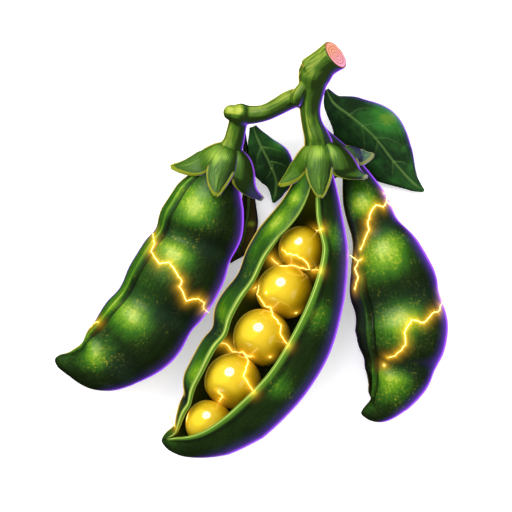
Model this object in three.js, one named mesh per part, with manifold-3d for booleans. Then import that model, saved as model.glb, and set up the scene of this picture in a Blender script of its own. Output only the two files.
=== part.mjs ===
// A picked sprig of garden pea lying on its back: a cut stem with a side branch, three plump pods
// under their sepals, five peas in the open middle pod, and three leaves.
// Millimetres, +Z up. X runs to the right of the sprig and Y towards the cut end of its stem.
// The origin is the middle of the underside of the whole sprig.

import * as THREE from 'three';
import { mergeGeometries, mergeVertices } from 'three/addons/utils/BufferGeometryUtils.js';
import Module from 'manifold-3d';

const wasm = await Module();
wasm.setup();

// Driving dimensions
const GAP = 0.3;
const SEPAL_THICKNESS = 0.9;
const LEAF_THICKNESS = 0.8;
const SUTURE_HEIGHT = 0.45;
const GROOVE_DEPTH = 0.55;
const GROOVE_TURN = 0.2;
const POD_WALL = 1.35;
const POD_FLOOR_WALL = 2.1;
const MOST_WALL = 0.45;
const WEB_SAG = 0.25;
const LIP_ROUNDING = 0.35;
const LIP_LEAN = { side: 0.6, up: 0.8 };
const PEA_LEAN = THREE.MathUtils.degToRad(30);
const PEA_EDGE_ROUNDING = 0.45;

// Facets
const POD_AROUND = 28;
const POD_ALONG = 30;
const SHELL_OUTSIDE = 20;
const SHELL_LIP = 3;
const SHELL_INSIDE = 12;
const SHELL_ALONG = 34;
const PEA_AROUND = 16;
const PEA_ALONG = 10;
const STALK_AROUND = 12;
const BALL_ALONG = 8;
const SEPAL_COLUMNS = 4;
const SEPAL_ROWS = 7;
const LEAF_COLUMNS = 6;
const LEAF_ROWS = 12;

// Each row of a pod is one section: x, y, z of its middle, half breadth, half depth.
const LEFT_POD = [
  [-4.8, 21.2, 8.9, 2.3, 2.3],
  [-6.0, 18.3, 8.3, 3.4, 3.3],
  [-8.7, 11.6, 7.5, 7.6, 6.5],
  [-10.6, 5.9, 7.3, 9.2, 7.4],
  [-12.9, 0.2, 7.4, 9.5, 7.6],
  [-15.9, -5.4, 7.5, 9.8, 7.8],
  [-19.9, -11.9, 7.5, 9.8, 7.8],
  [-24.2, -18.0, 7.4, 9.6, 7.6],
  [-30.4, -23.2, 6.8, 8.5, 7.0],
  [-35.3, -25.2, 5.9, 5.8, 5.6],
  [-39.7, -25.1, 5.3, 2.8, 3.1],
  [-43.3, -24.1, 5.3, 1.0, 1.0],
];
const RIGHT_POD = [
  [20.4, 20.8, 6.9, 1.5, 1.5],
  [22.3, 18.1, 6.8, 2.4, 2.4],
  [24.8, 11.7, 6.9, 4.7, 4.8],
  [27.1, 5.4, 6.9, 5.7, 6.2],
  [29.7, -1.0, 7.1, 8.0, 7.4],
  [31.9, -9.2, 7.5, 10.0, 7.8],
  [33.4, -16.2, 7.5, 10.1, 7.8],
  [33.5, -20.3, 7.4, 9.6, 7.7],
  [33.1, -24.8, 7.0, 8.5, 7.3],
  [32.2, -29.0, 6.3, 6.7, 6.2],
  [30.5, -32.6, 5.6, 4.9, 4.7],
  [28.2, -35.2, 5.2, 3.2, 3.1],
  [24.4, -36.2, 5.2, 0.9, 0.9],
];
const CENTRE_POD = [
  [14.4, 21.3, 12.6, 2.4, 2.3],
  [14.3, 17.4, 12.0, 3.7, 3.6],
  [13.4, 9.7, 10.4, 6.7, 6.0],
  [11.6, 2.0, 9.2, 10.3, 8.6],
  [8.6, -7.7, 9.2, 12.6, 9.4],
  [4.7, -17.7, 9.3, 13.7, 9.5],
  [0.8, -25.1, 9.2, 13.1, 9.4],
  [-5.9, -34.1, 8.6, 11.3, 8.8],
  [-10.0, -38.5, 7.6, 8.4, 7.5],
  [-15.0, -41.6, 6.0, 4.4, 4.6],
  [-19.7, -42.2, 5.6, 1.2, 1.3],
];
// Where the two lips stand across each section of the open pod, as shares of its half breadth.
const CENTRE_LIPS = [
  [-0.12, 0.08],
  [-0.16, 0.12],
  [-0.34, 0.24],
  [-0.57, 0.5],
  [-0.71, 0.45],
  [-0.74, 0.35],
  [-0.79, 0.31],
  [-0.74, 0.2],
  [-0.74, 0.1],
  [-0.55, -0.1],
  [-0.3, -0.1],
];
const LEFT_VALLEYS = [0.345, 0.56, 0.72];
const RIGHT_VALLEYS = [0.255, 0.43, 0.665];
const CENTRE_VALLEYS = [0.41, 0.57, 0.77];
const VALLEY_REACH = 0.04;
const VALLEY_DEPTH = 0.19;
const CENTRE_VALLEY_DEPTH = 0.06;
const VALLEY_PINCH = 0.3;
const SEAM_HOLDS = 0.6;
const SUTURE_TURN = THREE.MathUtils.degToRad(141.4);
const SUTURE_END_TURN = THREE.MathUtils.degToRad(193);

// Shares of a pod's length: how much of it each end rounds off over, where the seam's relief starts
// and reaches its full height at the top and at the tip, and the same for the hollow.
const TOP_ROUNDING = 0.025;
const TIP_ROUNDING = 0.035;
const ROW_CROWDING = 0.045;
const RELIEF_TOP = [0.06, 0.2];
const RELIEF_TIP = [0.02, 0.12];
const HOLLOW_TOP = [0.1, 0.26];
const HOLLOW_TIP = [0.055, 0.15];

// x, y, z of the middle of each pea, and its radius
const PEAS = [
  [11.2, 0.2, 9.7, 5.1],
  [7.4, -9.2, 9.2, 6.2],
  [2.5, -19.2, 9.1, 6.4],
  [-3.9, -29.0, 9.0, 6.3],
  [-9.1, -38.2, 8.2, 5.3],
];

const colours = {
  stem: 0x5d8a2a,
  calyx: 0x6d9c2c,
  pod: 0x3f7d1d,
  pea: 0xe8c21c,
  leaf: 0x2f6b25,
  leafBack: 0x3c3a16,
};

function smooth(low, high, value) {
  return THREE.MathUtils.smoothstep(value, low, high);
}

// A spline through rows of numbers, three columns of each at a time.
function splineOf(rows, first) {
  const points = rows.map((row) => new THREE.Vector3(row[first], row[first + 1], row[first + 2] ?? 0));
  return new THREE.CatmullRomCurve3(points, false, 'centripetal');
}

function spline(points) {
  return new THREE.CatmullRomCurve3(points.map((point) => new THREE.Vector3(...point)));
}

// One closed skin from a ball whose rows run from pole to pole and whose columns run round it.
function skin(around, along, place) {
  const ball = new THREE.SphereGeometry(1, around, along);
  const position = ball.getAttribute('position');
  let vertex = 0;
  for (let row = 0; row <= along; row += 1) {
    for (let column = 0; column <= around; column += 1) {
      const point = place((column % around) / around, row / along);
      position.setXYZ(vertex, point.x, point.y, point.z);
      vertex += 1;
    }
  }
  return bare(ball);
}

// Position and index only, with shared corners merged and collapsed triangles dropped.
function bare(geometry) {
  geometry.deleteAttribute('normal');
  geometry.deleteAttribute('uv');
  const merged = mergeVertices(geometry, 1e-4);
  const kept = [];
  const index = merged.getIndex().array;
  for (let corner = 0; corner < index.length; corner += 3) {
    const [a, b, c] = index.slice(corner, corner + 3);
    if (a !== b && b !== c && c !== a) kept.push(a, b, c);
  }
  merged.setIndex(kept);
  return merged;
}

// A point of a curve, with the directions forward, level across and up at it.
function frameOn(curve, run) {
  const middle = curve.getPoint(run);
  const forward = curve.getTangent(run);
  const across = new THREE.Vector3(-forward.y, forward.x, 0).normalize();
  const up = new THREE.Vector3().crossVectors(forward, across).normalize();
  return { middle, forward, across, up };
}

// The section of a pod at a share of its length.
function station(rows, share) {
  const run = THREE.MathUtils.clamp(share, 0, 1);
  const size = splineOf(rows, 3).getPoint(run);
  return { ...frameOn(splineOf(rows, 0), run), breadth: size.x, depth: size.y };
}

// Round both ends of a pod off over a short stretch, and draw the rows closer together there.
function podRun(row) {
  return row - ROW_CROWDING * Math.sin(2 * Math.PI * row);
}

function roundEnds(run) {
  const top = Math.min(run / TOP_ROUNDING, 1);
  const tip = Math.min((1 - run) / TIP_ROUNDING, 1);
  return Math.sqrt(top * (2 - top)) * Math.sqrt(tip * (2 - tip));
}

function valleys(run, places) {
  return places.reduce((sum, place) => sum + Math.exp(-(((run - place) / VALLEY_REACH) ** 2)), 0);
}

// A closed pod: swellings between the valleys, and a raised seam with a groove at its inner edge.
function closedPod(rows, places) {
  return skin(POD_AROUND, POD_ALONG, (column, row) => {
    const run = podRun(row);
    const at = station(rows, run);
    const end = roundEnds(run);
    const turn = 2 * Math.PI * (1 - column);
    const dip = VALLEY_DEPTH * valleys(run, places);
    const body = smooth(...RELIEF_TOP, run) * smooth(...RELIEF_TIP, 1 - run);
    const nearGroove = Math.max(0, 1 - Math.abs(turn - SUTURE_TURN) / GROOVE_TURN);
    const seamStart = smooth(SUTURE_TURN, SUTURE_TURN + GROOVE_TURN, turn);
    const onSeam = seamStart * smooth(-SUTURE_END_TURN, -Math.PI, -turn);
    const relief = body * (SUTURE_HEIGHT * onSeam - GROOVE_DEPTH * nearGroove);
    const side = (at.breadth * (1 - VALLEY_PINCH * dip) + relief) * end * Math.cos(turn);
    const depth = at.depth * (1 - dip * (1 - SEAM_HOLDS * onSeam));
    const rise = (depth + relief) * end * Math.sin(turn);
    const point = at.middle.clone().addScaledVector(at.across, side).addScaledVector(at.up, rise);
    point.z = Math.max(point.z, 0);
    return point;
  });
}

// The open pod: the ring of each section runs round the outside from the right lip to the left lip,
// over the left lip, back along the inside and over the right lip. Towards both ends the inside
// closes up to a web between the lips.
function openPod() {
  const ring = SHELL_OUTSIDE + SHELL_INSIDE + 2 * SHELL_LIP;
  return skin(ring, SHELL_ALONG, (column, row) => {
    const run = podRun(row);
    const at = station(CENTRE_POD, run);
    const end = roundEnds(run);
    const lips = splineOf(CENTRE_LIPS, 0).getPoint(run);
    const rightTurn = Math.acos(lips.y);
    const leftTurn = Math.acos(lips.x) - 2 * Math.PI;
    const hollow = smooth(...HOLLOW_TOP, run) * smooth(...HOLLOW_TIP, 1 - run);
    const dip = CENTRE_VALLEY_DEPTH * valleys(run, CENTRE_VALLEYS);
    const [sideways, rise] = shellSection(Math.round(column * ring), at, rightTurn, leftTurn, hollow);
    const side = sideways < 0 ? sideways * (1 - dip) : sideways;
    const point = at.middle.clone().addScaledVector(at.across, side * end);
    point.addScaledVector(at.up, rise * end);
    point.z = Math.max(point.z, 0);
    return point;
  });
}

function shellSection(step, at, rightTurn, leftTurn, hollow) {
  const outside = (share) => {
    const turn = THREE.MathUtils.lerp(rightTurn, leftTurn, share);
    return [at.breadth * Math.cos(turn), at.depth * Math.sin(turn)];
  };
  const inside = (share) => {
    const turn = THREE.MathUtils.lerp(rightTurn, leftTurn, share);
    const low = Math.max(0, -Math.sin(turn));
    const wall = Math.min(THREE.MathUtils.lerp(POD_WALL, POD_FLOOR_WALL, low), MOST_WALL * at.depth);
    const deep = [(at.breadth - wall) * Math.cos(turn), (at.depth - wall) * Math.sin(turn)];
    const web = mix(edge(0), edge(1), share);
    web[1] -= WEB_SAG * Math.sin(Math.PI * share);
    return mix(web, deep, share === 0 || share === 1 ? 1 : hollow);
  };
  const edge = (share) => {
    const turn = share === 0 ? rightTurn : leftTurn;
    const wall = Math.min(POD_WALL, MOST_WALL * at.depth);
    return [(at.breadth - wall) * Math.cos(turn), (at.depth - wall) * Math.sin(turn)];
  };
  if (step <= SHELL_OUTSIDE) return outside(step / SHELL_OUTSIDE);
  const overLeft = step - SHELL_OUTSIDE;
  if (overLeft < SHELL_LIP) return lip(outside(1), inside(1), overLeft / SHELL_LIP, -1);
  const back = overLeft - SHELL_LIP;
  if (back <= SHELL_INSIDE) return inside(1 - back / SHELL_INSIDE);
  return lip(inside(0), outside(0), (back - SHELL_INSIDE) / SHELL_LIP, 1);
}

function mix(from, to, share) {
  return from.map((value, axis) => value + (to[axis] - value) * share);
}

// A lip bulges a little into the opening.
function lip(from, to, share, sideways) {
  const point = mix(from, to, share);
  const bulge = LIP_ROUNDING * Math.sin(Math.PI * share);
  return [point[0] - sideways * bulge * LIP_LEAN.side, point[1] + bulge * LIP_LEAN.up];
}

// A pea is a ball, flattened where it presses on its neighbours. The lower pea leans over the upper.
function pea(number) {
  const [x, y, z, radius] = PEAS[number];
  const middle = new THREE.Vector3(x, y, z);
  const planes = [];
  for (const neighbour of [PEAS[number - 1], PEAS[number + 1]]) {
    if (neighbour) planes.push(pressedPlane(middle, radius, neighbour, neighbour === PEAS[number + 1]));
  }
  return skin(PEA_AROUND, PEA_ALONG, (column, row) => {
    const polar = Math.PI * row;
    const turn = 2 * Math.PI * column;
    const level = Math.sin(polar);
    const point = new THREE.Vector3(level * Math.cos(turn), level * Math.sin(turn), Math.cos(polar));
    point.multiplyScalar(radius);
    for (const { normal, reach } of planes) {
      const far = point.dot(normal);
      const k = PEA_EDGE_ROUNDING;
      const near = -k * Math.log(Math.exp(-far / k) + Math.exp(-reach / k));
      point.addScaledVector(normal, near - far);
    }
    return point.add(middle);
  });
}

function pressedPlane(middle, radius, neighbour, isNext) {
  const other = new THREE.Vector3(...neighbour.slice(0, 3));
  const apart = other.clone().sub(middle);
  const flat = new THREE.Vector3(apart.x, apart.y, 0).normalize();
  const lean = isNext ? Math.sin(PEA_LEAN) : -Math.sin(PEA_LEAN);
  const normal = flat.multiplyScalar(Math.cos(PEA_LEAN)).add(new THREE.Vector3(0, 0, lean));
  const reach = apart.dot(normal) * (radius / (radius + neighbour[3])) - GAP / 2;
  return { normal, reach };
}

// A round stalk along a curve, with flat ends: rows are x, y, z, radius.
function stalk(rows, along) {
  const route = spline(rows.map((row) => row.slice(0, 3)));
  const rod = new THREE.CylinderGeometry(1, 1, 1, STALK_AROUND, along);
  const position = rod.getAttribute('position');
  const thickness = spline(rows.map((row) => [row[3], 0, 0]));
  for (let vertex = 0; vertex < position.count; vertex += 1) {
    const run = THREE.MathUtils.clamp(0.5 - position.getY(vertex), 0, 1);
    const { middle: point, across, up } = frameOn(route, run);
    const radius = thickness.getPoint(run).x;
    point.addScaledVector(across, position.getX(vertex) * radius);
    point.addScaledVector(up, position.getZ(vertex) * radius);
    position.setXYZ(vertex, point.x, point.y, point.z);
  }
  return bare(rod);
}

function ball(x, y, z, radius) {
  const sphere = new THREE.SphereGeometry(radius, STALK_AROUND, BALL_ALONG);
  sphere.translate(x, y, z);
  return bare(sphere);
}

function solid(geometry) {
  const vertProperties = new Float32Array(geometry.getAttribute('position').array);
  const triVerts = new Uint32Array(geometry.getIndex().array);
  return new wasm.Manifold(new wasm.Mesh({ numProp: 3, vertProperties, triVerts }));
}

function joined(geometries) {
  const whole = geometries.map(solid).reduce((sum, next) => sum.add(next));
  const mesh = whole.getMesh();
  const geometry = new THREE.BufferGeometry();
  geometry.setAttribute('position', new THREE.BufferAttribute(mesh.vertProperties, 3));
  geometry.setIndex(new THREE.BufferAttribute(mesh.triVerts, 1));
  return geometry;
}

function stem() {
  const cutEnd = stalk([
    [18.6, 42.6, 15.7, 3.5],
    [16.2, 40.9, 15.1, 3.35],
    [13.0, 38.6, 14.3, 3.4],
  ], 4);
  const main = stalk([
    [15.6, 40.4, 14.8, 2.6],
    [14.2, 37.9, 14.2, 3.1],
    [13.3, 34.4, 13.8, 2.65],
    [13.0, 30.6, 13.5, 2.3],
    [13.5, 27.4, 13.3, 2.3],
    [14.3, 24.3, 13.1, 2.5],
  ], 16);
  const branch = stalk([
    [13.4, 34.0, 13.8, 2.0],
    [8.8, 32.9, 13.4, 2.15],
    [5.8, 31.3, 12.8, 2.0],
    [2.9, 30.0, 12.2, 1.9],
    [-0.3, 29.6, 11.7, 2.1],
    [-2.4, 29.8, 11.3, 2.2],
  ], 14);
  const leftStalk = stalk([
    [-2.3, 30.0, 11.3, 2.1],
    [-2.9, 27.4, 10.6, 2.1],
    [-3.8, 23.6, 9.8, 2.35],
  ], 8);
  const rightStalk = stalk([
    [13.6, 28.6, 12.4, 1.5],
    [15.8, 25.6, 9.6, 1.5],
    [18.9, 22.8, 7.4, 1.6],
  ], 8);
  const budStub = stalk([
    [11.8, 36.0, 15.2, 1.3],
    [10.3, 33.6, 15.6, 1.5],
    [9.6, 31.5, 15.3, 1.1],
  ], 5);
  const knob = ball(-2.0, 29.9, 11.4, 2.5);
  const knobEnd = ball(-3.9, 30.0, 11.3, 2.2);
  return joined([cutEnd, main, branch, leftStalk, rightStalk, budStub, knob, knobEnd]);
}

// A closed blade from an open sheet: both faces carry the same triangles, and the rim joins them.
function thicken(sheet, thickness) {
  const flat = bare(sheet);
  flat.computeVertexNormals();
  const point = flat.getAttribute('position');
  const normal = flat.getAttribute('normal');
  const count = point.count;
  const corners = new Float32Array(count * 6);
  for (let vertex = 0; vertex < count; vertex += 1) {
    for (let axis = 0; axis < 3; axis += 1) {
      const middle = point.getComponent(vertex, axis);
      const step = (normal.getComponent(vertex, axis) * thickness) / 2;
      corners[3 * vertex + axis] = middle + step;
      corners[3 * (vertex + count) + axis] = middle - step;
    }
  }
  const faces = Array.from(flat.getIndex().array);
  const edges = new Set();
  for (let corner = 0; corner < faces.length; corner += 3) {
    for (let side = 0; side < 3; side += 1) {
      edges.add(`${faces[corner + side]} ${faces[corner + ((side + 1) % 3)]}`);
    }
  }
  const triangles = [...faces];
  for (let corner = 0; corner < faces.length; corner += 3) {
    triangles.push(faces[corner] + count, faces[corner + 2] + count, faces[corner + 1] + count);
  }
  for (const edge of edges) {
    const [from, to] = edge.split(' ').map(Number);
    if (!edges.has(`${to} ${from}`)) {
      triangles.push(from, from + count, to);
      triangles.push(to, from + count, to + count);
    }
  }
  const blade = new THREE.BufferGeometry();
  blade.setAttribute('position', new THREE.BufferAttribute(corners, 3));
  blade.setIndex(triangles);
  return blade;
}

function sheet(columns, rows, place) {
  const plane = new THREE.PlaneGeometry(1, 1, columns, rows);
  const position = plane.getAttribute('position');
  for (let vertex = 0; vertex < position.count; vertex += 1) {
    const side = 2 * position.getX(vertex);
    const run = THREE.MathUtils.clamp(0.5 - position.getY(vertex), 0, 1);
    const point = place(side, run);
    position.setXYZ(vertex, point.x, point.y, point.z);
  }
  return plane;
}

// A calyx: five sepals that share a cap round the top of the pod. Each tip is given as x, y, z.
const SEPAL_TURNS = [18, 90, 162, 234, 306].map(THREE.MathUtils.degToRad);
const HALF_SEPAL = THREE.MathUtils.degToRad(36);
const CAP_SHARE = 0.3;
const CAP_RADIUS_POWER = 0.55;
const CAP_DEPTH_POWER = 1.7;
const NEAR_CAP_EDGE = 0.8;
const SEPAL_BELLY = 0.5;
const SEPAL_TAPER = 0.8;
const SEPAL_TIP = 0.06;

function calyx({ top, towards, capRadius, capDepth, tips, lift }) {
  const apex = new THREE.Vector3(...top);
  const forward = new THREE.Vector3(...towards).sub(apex).normalize();
  const across = new THREE.Vector3(-forward.y, forward.x, 0).normalize();
  const up = new THREE.Vector3().crossVectors(forward, across);
  const cap = (turn, share) => {
    const radius = capRadius * share ** CAP_RADIUS_POWER;
    const point = apex.clone().addScaledVector(forward, capDepth * share ** CAP_DEPTH_POWER);
    point.addScaledVector(across, radius * Math.cos(turn));
    return point.addScaledVector(up, radius * Math.sin(turn));
  };
  const sepals = SEPAL_TURNS.map((middleTurn, number) => {
    const tip = new THREE.Vector3(...tips[number]);
    const root = cap(middleTurn, 1);
    const outward = root.clone().sub(cap(middleTurn, NEAR_CAP_EDGE)).normalize();
    const bend = root.clone().addScaledVector(outward, lift * root.distanceTo(tip));
    const line = new THREE.QuadraticBezierCurve3(root, bend, tip);
    return sheet(SEPAL_COLUMNS, SEPAL_ROWS, (side, run) => {
      const turn = middleTurn + side * HALF_SEPAL;
      if (run <= CAP_SHARE) return cap(turn, run / CAP_SHARE);
      const out = (run - CAP_SHARE) / (1 - CAP_SHARE);
      const spread = (1 + SEPAL_BELLY * out) * (1 - out) ** SEPAL_TAPER + SEPAL_TIP * out;
      const width = cap(turn, 1).sub(root).multiplyScalar(spread);
      return line.getPoint(out).add(width);
    });
  });
  return thicken(mergeGeometries(sepals), SEPAL_THICKNESS);
}

const HANG_POWER = 1.4;

// A leaf along its midrib. Each row is x, y, z of the midrib, half width to the left and to the
// right of it, and how far the left and the right edge hang below it.
function leaf(rows) {
  const midrib = splineOf(rows, 0);
  const widths = splineOf(rows, 3);
  const hang = splineOf(rows, 5);
  return thicken(sheet(LEAF_COLUMNS, LEAF_ROWS, (side, run) => {
    const forward = midrib.getTangent(run);
    const right = new THREE.Vector3(forward.y, -forward.x, 0).normalize();
    const width = side < 0 ? widths.getPoint(run).x : widths.getPoint(run).y;
    const drop = side < 0 ? hang.getPoint(run).x : hang.getPoint(run).y;
    const point = midrib.getPoint(run).addScaledVector(right, side * width);
    point.z -= drop * Math.abs(side) ** HANG_POWER;
    return point;
  }), LEAF_THICKNESS);
}

const LEAF_RIGHT = [
  [16.3, 33.8, 12.6, 0.9, 0.9, 0, 0],
  [18.3, 31.9, 11.6, 2.6, 2.4, 0.2, 1.2],
  [21.6, 29.7, 9.2, 4.6, 5.2, 0.8, 3.8],
  [27.1, 25.2, 5.6, 6.9, 8.0, 1.4, 4.0],
  [31.9, 19.3, 3.0, 4.9, 5.6, 1.0, 1.9],
  [35.9, 15.0, 1.5, 1.4, 1.8, 0.2, 0.4],
  [38.4, 13.1, 0.9, 0.3, 0.3, 0, 0],
];
const LEAF_LEFT = [
  [0.5, 27.1, 8.8, 0.8, 0.8, 0, 0],
  [1.9, 23.6, 8.0, 2.7, 2.6, 0.5, 0.5],
  [4.0, 19.5, 6.4, 4.9, 4.2, 1.0, 1.0],
  [5.6, 15.6, 4.5, 4.2, 3.0, 0.9, 0.9],
  [5.6, 13.0, 3.2, 1.8, 1.2, 0.3, 0.3],
  [5.1, 10.6, 2.2, 0.3, 0.3, 0, 0],
];
const LEAF_BACK = [
  [-1.7, 26.6, 7.2, 0.5, 0.5, 0, 0],
  [-0.9, 20.6, 4.4, 0.6, 0.6, 0, 0],
  [-0.6, 14.9, 2.3, 0.8, 0.8, 0, 0],
  [-0.5, 9.6, 1.3, 1.6, 1.6, 0, 0],
  [-1.0, 5.6, 0.9, 2.5, 2.5, 0, 0],
  [-2.2, 1.2, 0.8, 2.2, 2.2, 0, 0],
  [-4.6, -2.8, 0.8, 0.3, 0.3, 0, 0],
];

const CALYX_LEFT = {
  top: [-4.1, 22.7, 9.4],
  towards: [-8.9, 12.4, 7.9],
  capRadius: 4.9,
  capDepth: 4.6,
  lift: 0.5,
  tips: [
    [2.6, 11.2, 8.6],
    [-7.6, 11.9, 15.8],
    [-17.5, 18.3, 11.2],
    [-11.4, 17.6, 2.4],
    [-3.8, 15.8, 2.8],
  ],
};
const CALYX_CENTRE = {
  top: [14.4, 23.4, 13.0],
  towards: [13.6, 10.0, 11.0],
  capRadius: 4.9,
  capDepth: 4.6,
  lift: 0.5,
  tips: [
    [25.0, 16.4, 15.4],
    [15.1, 11.4, 18.2],
    [6.2, 14.2, 13.4],
    [9.6, 15.4, 7.4],
    [17.4, 15.7, 7.9],
  ],
};
const CALYX_RIGHT = {
  top: [19.6, 22.0, 6.9],
  towards: [23.4, 16.4, 6.6],
  capRadius: 3.4,
  capDepth: 3.4,
  lift: 0.45,
  tips: [
    [27.0, 21.0, 7.6],
    [23.4, 16.6, 10.8],
    [19.5, 16.8, 7.0],
    [20.8, 17.2, 3.2],
    [25.2, 19.2, 3.6],
  ],
};

const sprig = new THREE.Group();

function add(name, geometry, color, roughness) {
  const material = new THREE.MeshStandardMaterial({ color, roughness, metalness: 0 });
  const mesh = new THREE.Mesh(geometry, material);
  mesh.name = name;
  sprig.add(mesh);
}

add('stem', stem(), colours.stem, 0.5);
add('calyx_left', calyx(CALYX_LEFT), colours.calyx, 0.45);
add('calyx_centre', calyx(CALYX_CENTRE), colours.calyx, 0.45);
add('calyx_right', calyx(CALYX_RIGHT), colours.calyx, 0.45);
add('pod_left', closedPod(LEFT_POD, LEFT_VALLEYS), colours.pod, 0.4);
add('pod_centre', openPod(), colours.pod, 0.4);
add('pod_right', closedPod(RIGHT_POD, RIGHT_VALLEYS), colours.pod, 0.4);
PEAS.forEach((_, number) => add(`pea_${number + 1}`, pea(number), colours.pea, 0.2));
add('leaf_right', leaf(LEAF_RIGHT), colours.leaf, 0.5);
add('leaf_left', leaf(LEAF_LEFT), colours.leaf, 0.5);
add('leaf_back', leaf(LEAF_BACK), colours.leafBack, 0.6);

// The sprig is drawn round the middle of its own outline, then set on its origin.
const box = new THREE.Box3().setFromObject(sprig);
sprig.position.set(-(box.min.x + box.max.x) / 2, -(box.min.y + box.max.y) / 2, -box.min.z);

export default sprig;
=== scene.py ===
import math
import random

import bpy
import numpy as np
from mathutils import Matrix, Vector
from mathutils.bvhtree import BVHTree


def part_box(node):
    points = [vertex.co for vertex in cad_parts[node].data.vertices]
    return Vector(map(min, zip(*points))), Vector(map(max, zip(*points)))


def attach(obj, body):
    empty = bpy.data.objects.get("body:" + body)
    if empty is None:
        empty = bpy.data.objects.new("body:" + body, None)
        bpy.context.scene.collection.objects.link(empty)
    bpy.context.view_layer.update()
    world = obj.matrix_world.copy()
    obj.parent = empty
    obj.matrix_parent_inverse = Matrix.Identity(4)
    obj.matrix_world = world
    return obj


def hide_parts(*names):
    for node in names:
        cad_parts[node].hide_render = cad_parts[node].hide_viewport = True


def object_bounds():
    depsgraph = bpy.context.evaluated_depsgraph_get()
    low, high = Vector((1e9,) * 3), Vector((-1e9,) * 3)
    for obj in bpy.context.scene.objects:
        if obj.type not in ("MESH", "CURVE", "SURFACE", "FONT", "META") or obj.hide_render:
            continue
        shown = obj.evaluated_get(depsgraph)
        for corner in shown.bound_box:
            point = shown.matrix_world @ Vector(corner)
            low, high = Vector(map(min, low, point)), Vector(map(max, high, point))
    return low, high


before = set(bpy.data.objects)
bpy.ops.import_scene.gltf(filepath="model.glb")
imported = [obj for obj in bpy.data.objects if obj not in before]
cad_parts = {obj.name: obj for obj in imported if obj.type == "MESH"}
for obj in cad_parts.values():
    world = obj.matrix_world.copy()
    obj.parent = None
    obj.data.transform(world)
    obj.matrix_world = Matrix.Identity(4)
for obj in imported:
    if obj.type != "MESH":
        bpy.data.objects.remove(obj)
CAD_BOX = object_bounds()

bl_info = {
    "name": "Pea Pod Sprig",
    "version": (1, 0, 0),
    "blender": (4, 5, 0),
    "location": "3D View > Sidebar > Pea Pod",
    "description": "A picked sprig of garden pea with an open pod of golden peas",
    "category": "Add Mesh",
}

MM = 0.001

# The tables are in millimetres. Each row of a pod is one section: x, y, z of its middle, half
# breadth, half depth.
LEFT_POD = [
    (-4.8, 21.2, 8.9, 2.3, 2.3),
    (-6.0, 18.3, 8.3, 3.4, 3.3),
    (-8.7, 11.6, 7.5, 7.6, 6.5),
    (-10.6, 5.9, 7.3, 9.2, 7.4),
    (-12.9, 0.2, 7.4, 9.5, 7.6),
    (-15.9, -5.4, 7.5, 9.8, 7.8),
    (-19.9, -11.9, 7.5, 9.8, 7.8),
    (-24.2, -18.0, 7.4, 9.6, 7.6),
    (-30.4, -23.2, 6.8, 8.5, 7.0),
    (-35.3, -25.2, 5.9, 5.8, 5.6),
    (-39.7, -25.1, 5.3, 2.8, 3.1),
    (-43.3, -24.1, 5.3, 1.0, 1.0),
]
RIGHT_POD = [
    (20.4, 20.8, 6.9, 1.5, 1.5),
    (22.3, 18.1, 6.8, 2.4, 2.4),
    (24.8, 11.7, 6.9, 4.7, 4.8),
    (27.1, 5.4, 6.9, 5.7, 6.2),
    (29.7, -1.0, 7.1, 8.0, 7.4),
    (31.9, -9.2, 7.5, 10.0, 7.8),
    (33.4, -16.2, 7.5, 10.1, 7.8),
    (33.5, -20.3, 7.4, 9.6, 7.7),
    (33.1, -24.8, 7.0, 8.5, 7.3),
    (32.2, -29.0, 6.3, 6.7, 6.2),
    (30.5, -32.6, 5.6, 4.9, 4.7),
    (28.2, -35.2, 5.2, 3.2, 3.1),
    (24.4, -36.2, 5.2, 0.9, 0.9),
]
CENTRE_POD = [
    (14.4, 21.3, 12.6, 2.4, 2.3),
    (14.3, 17.4, 12.0, 3.7, 3.6),
    (13.4, 9.7, 10.4, 6.7, 6.0),
    (11.6, 2.0, 9.2, 10.3, 8.6),
    (8.6, -7.7, 9.2, 12.6, 9.4),
    (4.7, -17.7, 9.3, 13.7, 9.5),
    (0.8, -25.1, 9.2, 13.1, 9.4),
    (-5.9, -34.1, 8.6, 11.3, 8.8),
    (-10.0, -38.5, 7.6, 8.4, 7.5),
    (-15.0, -41.6, 6.0, 4.4, 4.6),
    (-19.7, -42.2, 5.6, 1.2, 1.3),
]
# Where the two lips stand across each section of the open pod, as shares of its half breadth.
CENTRE_LIPS = [
    (-0.12, 0.08),
    (-0.16, 0.12),
    (-0.34, 0.24),
    (-0.57, 0.5),
    (-0.71, 0.45),
    (-0.74, 0.35),
    (-0.79, 0.31),
    (-0.74, 0.2),
    (-0.74, 0.1),
    (-0.55, -0.1),
    (-0.3, -0.1),
]
# Shares of a pod's length: where the open pod draws in between two peas, how far a valley and its
# painted shade reach and how it bows, how soon the ends round off, how closely rows crowd at the ends, and
# where the relief and the hollow set in from the top and from the tip
CENTRE_VALLEYS = [0.41, 0.57, 0.77]
VALLEY_REACH = 0.04
VALLEY_TINT_REACH = 0.03
VALLEY_BOW = 0.004
TOP_ROUNDING = 0.025
TIP_ROUNDING = 0.035
ROW_CROWDING = 0.045
RELIEF_TIP = (0.02, 0.12)
OPEN_RELIEF_TOP = (0.03, 0.1)
OPEN_RELIEF_TIP = (0.02, 0.06)
HOLLOW_TOP = (0.1, 0.26)
HOLLOW_TIP = (0.055, 0.15)
# How much of a valley shows at the sides, and how much of it the seam fills
VALLEY_PINCH = 0.3
SEAM_HOLDS = 0.6
# The seam of a closed pod, in radians round it: how soon it rises, where it ends, how wide its groove
# and the line of painted shade in it are, and where its bead lies. The bead's height is in millimetres.
SEAM_RISE = 0.13
SEAM_END_TURN = math.radians(193)
GROOVE_REACH = 0.045
GROOVE_LINE_REACH = 0.03
BEAD_TURN = 0.12
BEAD_REACH = 0.05
BEAD_HEIGHT = 0.16
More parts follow.
